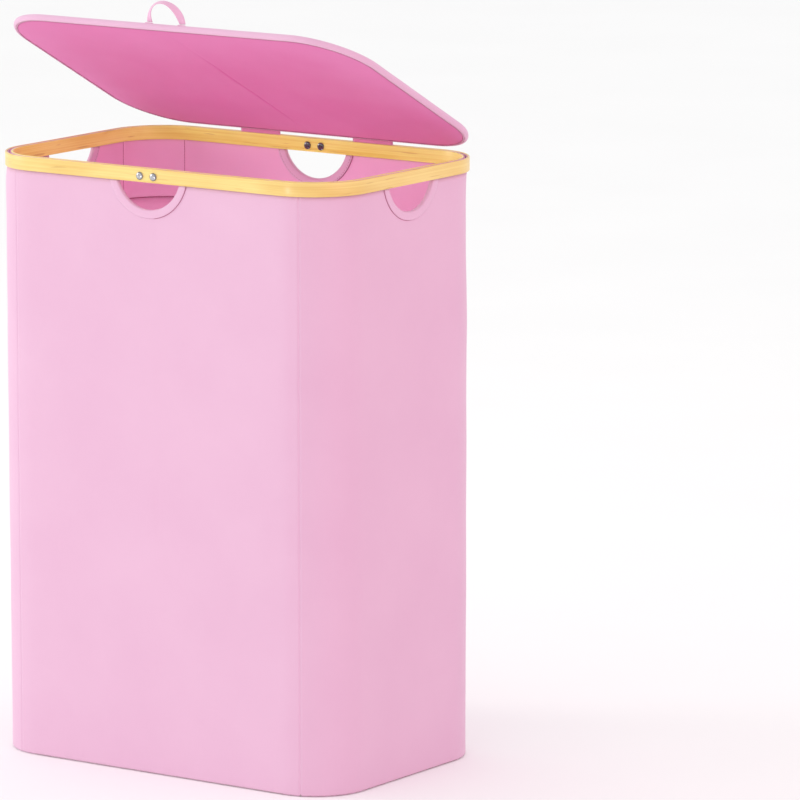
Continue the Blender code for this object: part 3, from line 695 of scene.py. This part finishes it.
def stitchRow(name, places, forward, outward, length, width, body, material):
    # one small bowed thread at each place: an ellipsoid drawn out along forward and flattened on outward
    turn = np.linspace(0, 2 * math.pi, 6, endpoint=False)
    tilt = np.linspace(-math.pi / 2, math.pi / 2, 6)
    side = np.cross(forward, outward)
    ring = np.cos(tilt)[:, None] * np.cos(turn)
    lift = np.cos(tilt)[:, None] * np.sin(turn)
    run = np.repeat(np.sin(tilt)[:, None], len(turn), 1)
    sideways = side[:, None, None] * ring[..., None] * width / 2
    upward = outward[:, None, None] * lift[..., None] * width * 0.4
    shape = places[:, None, None] + forward[:, None, None] * run[..., None] * length / 2 + sideways + upward
    count, rows, cols = shape.shape[:3]
    r, c = np.meshgrid(np.arange(rows - 1), np.arange(cols), indexing="ij")
    first, second = r * cols + c, r * cols + (c + 1) % cols
    quad = np.stack([first, first + cols, second + cols, second], -1)
    faces = (np.arange(count)[:, None, None] * rows * cols + quad.reshape(-1, 4)).reshape(-1, 4)
    mesh = bpy.data.meshes.new(name)
    mesh.from_pydata(shape.reshape(-1, 3).tolist(), [], faces.tolist())
    mesh.polygons.foreach_set("use_smooth", np.full(len(faces), True))
    layer = mesh.uv_layers.new(name="clothUv")
    spot = shape.reshape(-1, 3)[faces.reshape(-1)]
    uv = np.stack([spot[:, 0] + spot[:, 1], spot[:, 2]], -1)
    layer.data.foreach_set("uv", uv.reshape(-1).astype(np.float32))
    return finish(sealPoles(linkMesh(name, mesh)), body, material, "webbing")


# thread of the long seams
seamThread = {"radius": 0.38 * mm, "pitch": 3.0 * mm, "step": 1.1 * mm}


def threadLine(name, path, outward, radius, closed, body):
    # a sewn thread: round section carried along the path, swelling between its needle holes
    if closed:
        tangent = np.roll(path, -1, 0) - np.roll(path, 1, 0)
    else:
        tangent = np.gradient(path, axis=0)
    run = runAlong(path)
    tangent /= np.linalg.norm(tangent, axis=1, keepdims=True)
    side = np.cross(tangent, outward)
    turn = np.linspace(0, 2 * math.pi, 6, endpoint=False)
    reach = radius * (0.62 + 0.38 * np.abs(np.sin(math.pi * run / seamThread["pitch"])))
    if not closed:
        reach[[0, -1]] = pointRadius
    around = np.cos(turn)[None, :, None] * side[:, None] + np.sin(turn)[None, :, None] * outward[:, None]
    points = path[:, None] + around * reach[:, None, None]
    u = np.arange(7) * radius
    v = np.append(run, run[-1] + run[1]) if closed else run
    uv = uvGrid(u, v)
    item = sealPoles(gridMesh(name, points, uv, wrapRows=closed, wrapCols=True))
    return finish(item, body, threadDark, "webbing")


def liningFace(along, z):
    # inset of the lining's shown face
    return facingInset + lining["thickness"] + liningGive(along, z)


def makeLiningSeams():
    # upright threads at both ends of each corner, and one thread all round under the facing
    for index, spot in enumerate(liningSeams):
        z = np.arange(floorTop + 2 * mm, bandBottom - 0.5 * mm, seamThread["step"])
        along = np.full(len(z), spot)
        inset = liningFace(along, z) - 0.05 * mm
        path = ringPoints(hoop, along, inset, z)
        outward = -np.hstack([outlineAt(hoop, along)[1], np.zeros((len(z), 1))])
        threadLine(f"liningSeam{index}", path, outward, seamThread["radius"], False, "body")
    along = np.arange(0, perimeter(hoop), seamThread["step"])
    path = ringPoints(hoop, along, liningFace(along, facingBottom) - 0.05 * mm, facingBottom)
    outward = -np.hstack([outlineAt(hoop, along)[1], np.zeros((len(along), 1))])
    threadLine("facingSeam", path, outward, seamThread["radius"], True, "body")


makeLiningSeams()
print("lining seams made")


# the folded tape round each handle opening, and its stitches
binding = {
    "cloth": 0.8 * mm, "rise": 0.35 * mm, "fold": 1.6 * mm, "tuck": 2.4 * mm, "steps": 44,
    "stitchPitch": 3.2 * mm, "stitchIn": 1.6 * mm, "stitchLength": 2.3 * mm, "stitchWidth": 0.55 * mm,
    "threadOver": 0.12 * mm, "seamRadius": 0.36 * mm, "seamOut": 0.15 * mm,
}
bindingTop = bandBottom - 0.3 * mm
tapeOutside = canvasInset - 0.25 * mm        # the tape's two hidden faces
tapeInside = facingInset + lining["thickness"] + 0.3 * mm


def handleArc(radius, share):
    # across and height on a circle about the handle centre, from chord end to chord end
    lift = np.arcsin((handle["centreZ"] - bindingTop) / radius)
    angle = math.pi + lift + (math.pi - 2 * lift) * share
    return radius * np.cos(angle), handle["centreZ"] + radius * np.sin(angle)


def bindingProfile():
    # folded tape as (radius, inset): round over the cloth's edge, gently raised, tucked at its outer edge
    clear, outer, fold = handle["clear"], handle["outer"], binding["fold"]
    middle = (tapeOutside + tapeInside) / 2
    halfGap = (tapeInside - tapeOutside) / 2 + binding["cloth"]
    swell = np.linspace(0, 1, 9)
    lift = binding["rise"] * np.sin(math.pi * swell) * (1 - 0.6 * np.exp(-((swell - 0.8) / 0.07) ** 2))
    radius = outer - swell * (outer - clear - fold)
    front = np.stack([radius, middle - halfGap - lift], -1)
    turn = np.linspace(-math.pi / 2, math.pi / 2, 9)[1:-1]
    edge = np.stack([clear + fold * (1 - np.cos(turn)), middle + halfGap * np.sin(turn)], -1)
    rear = front[::-1].copy()
    rear[:, 1] = 2 * middle - rear[:, 1]
    tuck = clear + binding["tuck"]
    hidden = np.array([(outer, tapeInside), (tuck, tapeInside), (tuck, tapeOutside), (outer, tapeOutside)])
    return np.vstack([front, edge, rear, hidden])


def makeTape(wall):
    # the tape's profile carried round the opening, its ends cut level under the band; the tape is cut on
    # the bias, so its weave runs at 45 degrees
    profile = bindingProfile()
    share = np.linspace(0, 1, binding["steps"])
    radius = profile[:, 0][:, None]
    across, height = handleArc(radius, share[None, :])
    points = onWall(wall, wallShift[wall] + across, profile[:, 1][:, None], height)
    capA = points[:, :1].mean(0, keepdims=True) + 0 * points[:, :1]
    capB = points[:, -1:].mean(0, keepdims=True) + 0 * points[:, -1:]
    points = np.concatenate([capA, points, capB], 1)
    steps = np.concatenate([[0], share, [1]]) * math.pi * handle["outer"]
    length = runAlong(np.vstack([profile, profile[:1]]))
    uv = np.stack([length[:, None] + steps, length[:, None] - steps], -1) / math.sqrt(2)
    item = sealPoles(gridMesh("handleBinding" + wall.capitalize(), points, uv, wrapRows=True))
    finish(item, "body", canvasCloth, "canvas", "handle_binding_" + wall)


def makeTapeThreads(wall):
    # a row of stitches along each face of the tape, and a thread that sews down its outer edge
    shift = wallShift[wall]
    radius = handle["outer"] - binding["stitchIn"]
    count = int(math.pi * radius * 0.8 / binding["stitchPitch"])
    share = (np.arange(count) + 0.5) / count
    outside = tapeOutside - binding["cloth"] - binding["threadOver"]
    inside = tapeInside + binding["cloth"] + binding["threadOver"]
    for side, inset, thread in (("Out", outside, threadPale), ("In", inside, threadDark)):
        across, height = handleArc(radius, share)
        nearby, above = handleArc(radius, share + 0.001)
        places = onWall(wall, shift + across, inset, height)
        forward = onWall(wall, shift + nearby, inset, above) - places
        forward /= np.linalg.norm(forward, axis=1, keepdims=True)
        outward = onWall(wall, shift + across, inset - 1, height) - places
        stitchRow("handleStitch" + wall.capitalize() + side, places, forward, outward,
                  binding["stitchLength"], binding["stitchWidth"], "body", thread)
    edge = np.linspace(0.004, 0.996, int(math.pi * handle["outer"] / seamThread["step"]))
    across, height = handleArc(handle["outer"] + binding["seamOut"], edge)
    for side, inset in (("Out", canvasInset), ("In", facingInset + lining["thickness"])):
        path = onWall(wall, shift + across, inset, height)
        outward = onWall(wall, shift + across, inset - 1, height) - path
        name = "bindingSeam" + wall.capitalize() + side
        threadLine(name, path, outward, binding["seamRadius"], False, "body")


for wallName in wallTurns:
    makeTape(wallName)
    makeTapeThreads(wallName)
print("handle bindings made")


# rivet posts outside the hoop and their screws inside
fastener = {
    "headRadius": 4.2 * mm, "height": 1.6 * mm, "drop": 8.2 * mm, "apart": 8.7 * mm, "shank": 1.3 * mm,
    "shankLength": 5.0 * mm, "gap": 0.3 * mm, "shadeRingRadius": 3.55 * mm, "crossHalf": 0.62 * mm,
    "crossReach": 2.5 * mm, "crossDepth": 0.9 * mm, "tail": 1.25 * mm, "tailLength": 3 * mm,
}
fastenerHeight = rimTop - fastener["drop"]


def turned(wall, across, radii, insets, spin=40):
    # a profile of radius and inset turned about a line square to the wall, at the fasteners' height
    angle = np.linspace(0, 2 * math.pi, spin, endpoint=False)
    return onWall(wall, across + radii[:, None] * np.cos(angle), insets[:, None] + 0 * angle,
                  fastenerHeight + radii[:, None] * np.sin(angle))


def makePost(wall, side, across):
    # low dome with a rolled edge and the shank through the hoop, then a dark ring on the dome: painted
    # shade for the dark rim round the head
    title = wall.capitalize() + side.capitalize()
    shank, edge = fastener["shank"], fastener["headRadius"] - 0.2 * mm
    turn = np.linspace(0, math.pi / 2, 12)
    top = -fastener["height"] - fastener["gap"]
    dome = fastener["headRadius"] * np.sin(turn) ** 0.9
    rise = top + fastener["height"] * (1 - np.cos(turn)) ** 1.2
    radii = np.concatenate([[pointRadius], dome[1:], [edge, shank, shank, pointRadius]])
    insets = np.append(rise, [-0.05 * mm, -0.05 * mm, fastener["shankLength"], fastener["shankLength"]])
    item = sealPoles(gridMesh("rivetPost" + title, turned(wall, across, radii, insets), wrapCols=True))
    finish(item, "body", postMetal, "post_steel", f"post_{wall}_{side}")
    # dark ring of screw metal round the dome: painted shade
    ring = np.linspace(0, 2 * math.pi, 10, endpoint=False)
    radii = fastener["shadeRingRadius"] + 0.5 * mm * np.cos(ring)
    insets = -1.0 * mm + 0.42 * mm * np.sin(ring)
    points = turned(wall, across, radii, insets)
    item = sealPoles(gridMesh("rivetShadeRing" + title, points, wrapRows=True, wrapCols=True))
    return finish(item, "body", screwMetal, "screw_steel")


def makeScrew(wall, side, across):
    # pan head with a cross recess: the recess is sunk where a spot lies near either arm of the cross
    base = innerInset + band["innerThickness"] + fastener["gap"]
    steps = np.linspace(0, 1, 22)
    radii = fastener["headRadius"] * np.sin(steps * math.pi / 2)
    angle = np.linspace(0, 2 * math.pi, 72, endpoint=False)
    rise = fastener["height"] * np.cos(steps * math.pi / 2) ** 0.7
    x, z = radii[:, None] * np.cos(angle), radii[:, None] * np.sin(angle)
    arm = np.minimum(np.abs(x), np.abs(z))
    along = np.maximum(np.abs(x), np.abs(z))
    inCross = (1 / (1 + np.exp((arm - fastener["crossHalf"]) / (0.08 * mm)))
               / (1 + np.exp((along - fastener["crossReach"]) / (0.12 * mm))))
    inset = base + rise[:, None] - inCross * fastener["crossDepth"]
    shown = onWall(wall, across + x, inset, fastenerHeight + z)
    tail = np.array([fastener["tail"], fastener["tail"], pointRadius])
    depth = base - np.array([0, fastener["tailLength"], fastener["tailLength"]])
    points = np.vstack([shown, turned(wall, across, tail, depth, len(angle))])
    name = "hoopScrew" + wall.capitalize() + side.capitalize()
    item = sealPoles(gridMesh(name, points, wrapCols=True))
    return finish(item, "body", screwMetal, "screw_steel", f"screw_{wall}_{side}")


for wallName in ("front", "back"):
    for sideName, offset in (("left", -fastener["apart"]), ("right", fastener["apart"])):
        makePost(wallName, sideName, wallShift[wallName] + offset)
        makeScrew(wallName, sideName, wallShift[wallName] + offset)
print("fasteners made")


# the lid, in its own coordinates until fromLid turns it up
lid = {
    "halfX": 228 * mm, "halfY": 152.5 * mm, "corner": 70 * mm, "thickness": 6.8 * mm,
    "open": math.radians(27.2), "setback": 3.1 * mm, "drop": 1.8 * mm, "hem": 5.0 * mm, "cloth": 0.8 * mm,
    "crease": 0.7 * mm, "creaseLip": 0.3 * mm, "pucker": 0.10 * mm, "tuck": 0.55 * mm, "wave": 0.28 * mm,
    "stitchPitch": 3.4 * mm, "stitchLength": 2.4 * mm, "stitchWidth": 0.5 * mm, "threadRadius": 0.4 * mm,
}


def fromLid(points):
    # lid coordinates (x, towards the hinge, above the hinge line) turned up about the hinge
    c, s = math.cos(lid["open"]), math.sin(lid["open"])
    y, z = points[..., 1], points[..., 2]
    return np.stack([points[..., 0], hingeAt.y + y * c + z * s, hingeAt.z - y * s + z * c], -1)


def lidRing(along, inset, height):
    # the lid's outline moved in by inset, at a height over its underside
    points = ringPoints(lid, along, inset, height - lid["drop"])
    points[..., 1] -= lid["setback"] + lid["halfY"]
    return points


def lidFill(edge, shares, height):
    # rings drawn in from an edge towards the lid's middle
    centre = np.array([0, -lid["setback"] - lid["halfY"], 0])
    points = centre + (edge[None] - centre) * shares[:, None, None]
    points[..., 2] = height - lid["drop"]
    return points


def makeLidCover():
    # from the hidden middle out along the board, round under the hem, up the rounded edge and in over
    # the top, which is softly uneven and dips between the two boards
    along = placesAlong(lid, 5 * mm)
    thick, cloth = lid["thickness"], lid["cloth"]
    roundR = thick / 2 * 0.92
    turn = np.linspace(-math.pi / 2, math.pi / 2, 15)
    edgeIn = roundR * (1 - np.cos(turn)) * 0.8
    edgeH = thick / 2 + thick / 2 * np.sin(turn)
    wave = 0.16 * mm * ripple(along, along * 0, 0.05, 51)
    rim = [(lid["hem"] + 1.0 * mm, thick - cloth), (cloth + 0.6 * mm, thick - cloth - 0.8 * mm),
           (cloth + 0.6 * mm, cloth + 0.4 * mm), (lid["hem"] - 0.2 * mm, cloth), (lid["hem"], cloth / 2),
           (lid["hem"] - 0.2 * mm, 0.05 * mm)]
    rim += list(zip(edgeIn, edgeH))
    rim += [(5.5 * mm, thick + 0.05 * mm), (8.5 * mm, thick), (14 * mm, thick)]
    onEdge = np.isin(np.arange(len(rim)), range(7, 20))[:, None]
    inset = np.array([spot[0] for spot in rim])[:, None] + wave * onEdge
    height = np.array([spot[1] for spot in rim])[:, None] + 0 * along
    ring = lidRing(along, inset, height)
    inner = lidFill(ring[0], np.linspace(0.001, 0.96, 6), thick - cloth)
    outer = lidFill(ring[-1], np.linspace(0.97, 0.001, 34), thick)
    softness = 0.22 * mm * ripple(outer[..., 0], outer[..., 1], 0.17, 52)
    middle = -0.25 * mm * np.exp(-(outer[..., 0] / (3 * mm)) ** 2)
    outer[..., 2] += softness + middle
    points = np.concatenate([inner, ring, outer], 0)
    flat = np.concatenate([points, points[:, :1]], 1)
    uv = np.stack([flat[..., 0], flat[..., 1] + flat[..., 2]], -1)
    item = sealPoles(gridMesh("lidCover", fromLid(points), uv, wrapCols=True))
    finish(item, "lid", canvasCloth, "canvas", "lid_cover")
    flat, area = plateOf(lid, -thick - lid["hem"])


def makeLidLining():
    # columns across the lid, each as long as the rounded outline lets it; a crease on the middle line,
    # a drawn-in edge with puckers, slow ripples
    inset = lid["hem"] - 0.3 * mm
    radius = lid["corner"] - inset
    a = lid["halfX"] - lid["corner"]
    b = lid["halfY"] - lid["corner"]
    turn = np.linspace(0, math.pi / 2, 22)[1:]
    bend = a + radius * np.sin(turn)
    flat = np.linspace(6 * mm, a, 30)
    centre = np.array([0, 0.5, 1, 1.6, 2.4, 3.6]) * mm
    half = np.concatenate([centre, flat, bend])
    x = np.concatenate([-half[:0:-1], half])
    reach = b + np.sqrt(np.maximum(radius ** 2 - np.maximum(np.abs(x) - a, 0) ** 2, 0))
    edge = np.array([0, 0.004, 0.01, 0.02, 0.035, 0.05])
    v = np.concatenate([-1 + edge, np.linspace(-0.93, 0.93, 60), 1 - edge[::-1]])
    xx, vv = np.meshgrid(x, v)
    yy = vv * reach
    toSide = np.minimum(lid["halfX"] - inset - np.abs(xx), reach - np.abs(yy))
    pucker = lid["pucker"] * np.exp(-toSide / (9 * mm)) * np.sin((xx + yy * 1.3) / (3.3 * mm))
    tuck = lid["tuck"] * np.exp(-toSide / (1.3 * mm))
    crease = lid["crease"] * np.exp(-(xx / (1.1 * mm)) ** 2)
    crease -= lid["creaseLip"] * np.exp(-((np.abs(xx) - 4 * mm) / (3 * mm)) ** 2)
    crease *= 0.15 + 1.15 * np.exp(-((vv - 0.1) / 0.55) ** 4)
    wave = lid["wave"] * ripple(xx, yy, 0.15, 61) + 0.08 * mm * ripple(xx, yy, 0.04, 62)
    shown = tuck + crease + pucker + wave * np.clip(toSide / (20 * mm), 0, 1)
    low = np.stack([xx, yy - lid["setback"] - lid["halfY"], shown - lid["drop"]], -1)
    high = low[::-1].copy()
    high[..., 2] = np.maximum(high[..., 2], lid["cloth"] * 1.2 - lid["drop"]) + 0.3 * mm
    points = np.concatenate([low, high], 0)
    uv = np.concatenate([points[..., :2], points[:1, :, :2]], 0)
    item = closeEnds(gridMesh("lidLining", fromLid(points), uv, wrapRows=True))
    # the lid's lining takes the lining cloth's deeper copy: painted shade
    finish(item, "lid", liningClothShaded, "lining", "lid_lining")
    flat, area = plateOf(lid, inset)


def makeLidStitches():
    # a row of stitches round the turned-under hem, and a thread along the lining's edge
    whole = perimeter(lid)
    count = int(whole / lid["stitchPitch"])
    along = (np.arange(count) + 0.5) / count * whole
    places = lidRing(along, np.full((1, count), lid["hem"] - 1.5 * mm), -0.1 * mm)[0]
    nearby = lidRing(along + 0.1 * mm, np.full((1, count), lid["hem"] - 1.5 * mm), -0.1 * mm)[0]
    below = places - np.array([0, 0, 1.0])
    places, nearby, below = fromLid(places), fromLid(nearby), fromLid(below)
    forward = nearby - places
    forward /= np.linalg.norm(forward, axis=1, keepdims=True)
    outward = below - places
    stitchRow("lidStitches", places, forward, outward, lid["stitchLength"], lid["stitchWidth"],
              "lid", threadDark)
    along = np.arange(0, whole, seamThread["step"])
    path = lidRing(along, np.full((1, len(along)), lid["hem"] + 0.1 * mm), 0.15 * mm)[0]
    below = fromLid(path - np.array([0, 0, 1.0]))
    path = fromLid(path)
    threadLine("lidSeam", path, below - path, lid["threadRadius"], True, "lid")


makeLidCover()
makeLidLining()
makeLidStitches()
print("lid made")


# the two cloth straps that the lid turns on
strap = {
    "halfWidth": 26 * mm, "middle": 73.5 * mm, "thickness": 0.9 * mm, "bend": 1.6 * mm, "tuck": 13 * mm,
    "inLid": 18 * mm, "blend": 1.4 * mm,
}


def strapPath():
    # side view of the strap: straight up out of the hoop, a small bend at the hinge line, into the lid
    up = np.array([hingeAt.y, rimTop - strap["tuck"]])
    knee = np.array([hingeAt.y, hingeAt.z])
    into = np.array([-math.cos(lid["open"]), math.sin(lid["open"])])
    start = knee - np.array([0, strap["bend"]])
    end = knee + into * strap["bend"]
    t = np.linspace(0, 1, 12)[:, None]
    bend = (1 - t) ** 2 * start + 2 * t * (1 - t) * knee + t ** 2 * end
    rise = up + (start - up) * np.linspace(0, 1, 14)[:-1, None]
    tail = end + into * np.linspace(0, strap["inLid"], 8)[1:, None]
    return np.vstack([rise, bend, tail])


def makeStrap(side, middle):
    # an oval section carried up the path, its selvedges a little thicker than its middle
    path = strapPath()
    step = np.gradient(path, axis=0)
    step /= np.linalg.norm(step, axis=1, keepdims=True)
    square = np.stack([-step[:, 1], step[:, 0]], -1)
    across = np.concatenate([np.linspace(-1, 1, 27), np.linspace(1, -1, 27)])
    face = np.concatenate([np.full(27, 1.0), np.full(27, -1.0)])
    selvedge = 1 + 0.12 * np.exp(-((1 - np.abs(across)) / 0.05) ** 2)
    rounded = np.sqrt(np.clip(1 - np.abs(across) ** 40, 0, 1))
    lift = face * strap["thickness"] / 2 * selvedge * rounded
    x = middle + across * strap["halfWidth"]
    yz = path[:, None] + square[:, None] * lift[None, :, None]
    points = np.concatenate([np.broadcast_to(x, yz.shape[:2])[..., None], yz], -1)
    uv = uvGrid(np.arange(1, 56) * 2 * mm, runAlong(path))
    item = closeEnds(gridMesh("hingeStrap" + side, points, uv, wrapCols=True), 0.002 * mm)
    item.data.materials.append(strapClothBrightened)
    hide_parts("hinge_strap_" + side.lower(), "hinge_leaf_" + side.lower())
    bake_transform(item)
    return item


makeStrap("Left", -strap["middle"])
makeStrap("Right", strap["middle"])
print("hinge straps made")


# the webbing loop on the lid's front edge
loop = {
    "halfSpan": 21 * mm, "height": 24 * mm, "width": 7.5 * mm, "thickness": 1.0 * mm,
    "lean": math.radians(44), "steps": 70, "tabHalfX": 5 * mm, "tabHalfY": 3 * mm, "tabHeight": 1.12 * mm,
}


def fromLoop(points):
    # loop coordinates (across, forward of its plane, along its lean) set on the lid's pivot
    tilt = loop["lean"] - lid["open"]
    c, s = math.cos(tilt), math.sin(tilt)
    y, z = points[..., 1], points[..., 2]
    return np.stack([points[..., 0], loopAt.y + y * c - z * s, loopAt.z + y * s + z * c], -1)


def makePullLoop():
    # half an ellipse of webbing; each leg turns a quarter so the strap lies flat at its feet and
    # edge-on at the crown
    share = np.linspace(0, 1, loop["steps"])
    foot = math.radians(2)
    angle = math.pi - foot - (math.pi - 2 * foot) * share
    height = 0.3 * mm + loop["height"] * np.sin(angle)
    centre = np.stack([loop["halfSpan"] * np.cos(angle), 0 * angle, height], -1)
    along = np.stack([loop["halfSpan"] * np.sin(angle), 0 * angle, -loop["height"] * np.cos(angle)], -1)
    along /= np.linalg.norm(along, axis=1, keepdims=True)
    flat = np.stack([-along[:, 2], 0 * angle, along[:, 0]], -1)
    twist = math.pi / 2 * np.sin(angle)
    wide = flat * np.cos(twist)[:, None] + np.array([0, 1, 0]) * np.sin(twist)[:, None]
    thin = np.cross(along, wide)
    across = np.concatenate([np.linspace(-1, 1, 13), np.linspace(1, -1, 13)])
    face = np.concatenate([np.full(13, 1.0), np.full(13, -1.0)])
    rounded = face * np.sqrt(np.clip(1 - np.abs(across) ** 16, 0, 1))
    points = (centre[:, None] + wide[:, None] * (across * loop["width"] / 2)[None, :, None]
              + thin[:, None] * (rounded * loop["thickness"] / 2)[None, :, None])
    uv = uvGrid(np.arange(1, 28) * 0.6 * mm, runAlong(centre))
    item = closeEnds(gridMesh("pullLoop", fromLoop(points), uv, wrapCols=True), 0.002 * mm)
    return finish(item, "loop", tapeCloth, "webbing", "pull_loop")


def makeLoopTab(side, middle):
    # sewn foot: a soft-edged tab, domed a little, with a box of stitches
    front = -lid["setback"] - 2 * lid["halfY"] + 5 * mm
    base = lid["thickness"] - lid["drop"]
    turn = np.linspace(0, 2 * math.pi, 64, endpoint=False)
    edgeX = np.sign(np.cos(turn)) * np.abs(np.cos(turn)) ** 0.35 * loop["tabHalfX"]
    edgeY = np.sign(np.sin(turn)) * np.abs(np.sin(turn)) ** 0.35 * loop["tabHalfY"]
    shares = np.array([0.001, 0.5, 0.93, 1.0, 1.0, 0.93, 0.8, 0.5, 0.001])
    heights = np.append(np.array([0.0, 0.0, 0.0, 0.25, 0.75, 1.0, 1.08]) * mm, [loop["tabHeight"]] * 2)
    x = middle + shares[:, None] * edgeX
    y = front + shares[:, None] * edgeY
    points = np.stack([x, y, np.broadcast_to(base + heights[:, None], x.shape)], -1)
    flat = np.concatenate([points, points[:, :1]], 1)
    item = sealPoles(gridMesh("loopTab" + side, fromLid(points), flat[..., :2], wrapCols=True))
    finish(item, "lid", tapeCloth, "webbing", "loop_tab_" + side.lower())
    corner = np.array([(-3.4, -1.7), (3.4, -1.7), (3.4, 1.7), (-3.4, 1.7)]) * mm
    places, forward = [], []
    for start, end in zip(corner, np.roll(corner, -1, 0)):
        count = max(2, int(np.linalg.norm(end - start) / (1.7 * mm)))
        for index in range(count):
            spot = start + (end - start) * (index + 0.5) / count
            places.append((middle + spot[0], front + spot[1], base + loop["tabHeight"]))
            forward.append((end - start) / np.linalg.norm(end - start))
    places = np.array(places)
    forward = np.hstack([np.array(forward), np.zeros((len(places), 1))])
    tips = fromLid(places + forward * mm) - fromLid(places)
    outward = fromLid(places + np.array([0, 0, 1.0])) - fromLid(places)
    stitchRow("tabStitch" + side, fromLid(places), tips / mm, outward, 1.3 * mm, 0.4 * mm,
              "lid", threadPale)


makePullLoop()
makeLoopTab("Left", -loop["halfSpan"])
makeLoopTab("Right", loop["halfSpan"])
print("pull loop made")


# the boards keep their CAD shape
for nodeName, node in frame["nodes"].items():
    if "board" in nodeName:
        node.data.materials.clear()
        node.data.materials.append(greyBoard)
print("boards given their material")


# the floor's two shades, and the camera's lens, place and axes
studio = {
    "floorLow": (0.94, 0.94, 0.94), "floorHigh": (0.97, 0.97, 0.97), "lens": 296.29, "sensor": 36,
    "place": (4.04994, -5.53858, 1.58340), "right": (0.82172, 0.56989, 0.0),
    "up": (-0.09860, 0.14218, 0.98492), "back": (0.56129, -0.80933, 0.17302),
}


# place, aim, size, watts and colour of each lamp; the last one lifts the shade inside the hamper
white = (1.0, 1.0, 1.0)
lamps = {
    "keyLight": ((-3.3, -1.7, 1.2), (0, 0, 0.4), 1.2, 36, white),
    "lowLight": ((-0.5, -2.6, 0.2), (0, 0, 0.7), 0.3, 5, white),
    "fillLight": ((3.4, -0.8, 1.3), (0, 0, 0.3), 2.0, 17, (1.0, 0.12, 0.36)),
    "insideLight": ((0.0, -0.05, 0.36), (0.04, 0.1, 0.75), 0.12, 0.39, white),
}


def makeFloor():
    # a wide pale sheet under the hamper
    material, tree, shader = nodeTree("paleFloor")
    place = addNode(tree, "ShaderNodeTexCoord")
    grainNoise = addNode(tree, "ShaderNodeTexNoise", {"Scale": 3.0, "Detail": 2.0})
    wire(tree, place.outputs["Object"], grainNoise.inputs["Vector"])
    stops = [(0.0, studio["floorLow"]), (1.0, studio["floorHigh"])]
    wire(tree, rampNode(tree, grainNoise.outputs["Fac"], stops), shader.inputs["Base Color"])
    shader.inputs["Roughness"].default_value = 0.9
    side = np.linspace(-40, 40, 9)
    x, y = np.meshgrid(side, side)
    item = gridMesh("studioFloor", np.stack([x, y, 0 * x], -1), smooth=False)
    item.data.materials.append(material)
    return item


def makeLight(name, place, aim, size, watts, colour):
    lamp = bpy.data.lights.new(name, "AREA")
    lamp.color = colour
    lamp.shape = "DISK"
    lamp.size = size
    lamp.energy = watts
    item = bpy.data.objects.new(name, lamp)
    item.location = place
    item.rotation_mode = "QUATERNION"
    item.rotation_quaternion = (Vector(aim) - Vector(place)).to_track_quat("-Z", "Y")
    item.visible_camera = False
    bpy.context.scene.collection.objects.link(item)


def makeWorld():
    world = bpy.data.worlds.new("studioWorld")
    world.use_nodes = True
    world.node_tree.nodes["Background"].inputs["Color"].default_value = (1.0, 1.0, 1.0, 1)
    world.node_tree.nodes["Background"].inputs["Strength"].default_value = 1.0
    bpy.context.scene.world = world


def makeCamera():
    cameraData = bpy.data.cameras.new("camera")
    cameraData.lens = studio["lens"]
    cameraData.sensor_width = studio["sensor"]
    cameraData.clip_start = 0.1
    cameraData.clip_end = 100
    camera = bpy.data.objects.new("camera", cameraData)
    axes = Matrix((studio["right"], studio["up"], studio["back"])).transposed()
    camera.matrix_world = Matrix.Translation(studio["place"]) @ axes.to_4x4()
    bpy.context.scene.collection.objects.link(camera)
    bpy.context.scene.camera = camera


makeFloor()
makeWorld()
for lampName, settings in lamps.items():
    makeLight(lampName, *settings)
makeCamera()
bpy.context.scene.view_settings.view_transform = "Standard"
print("stage ready")
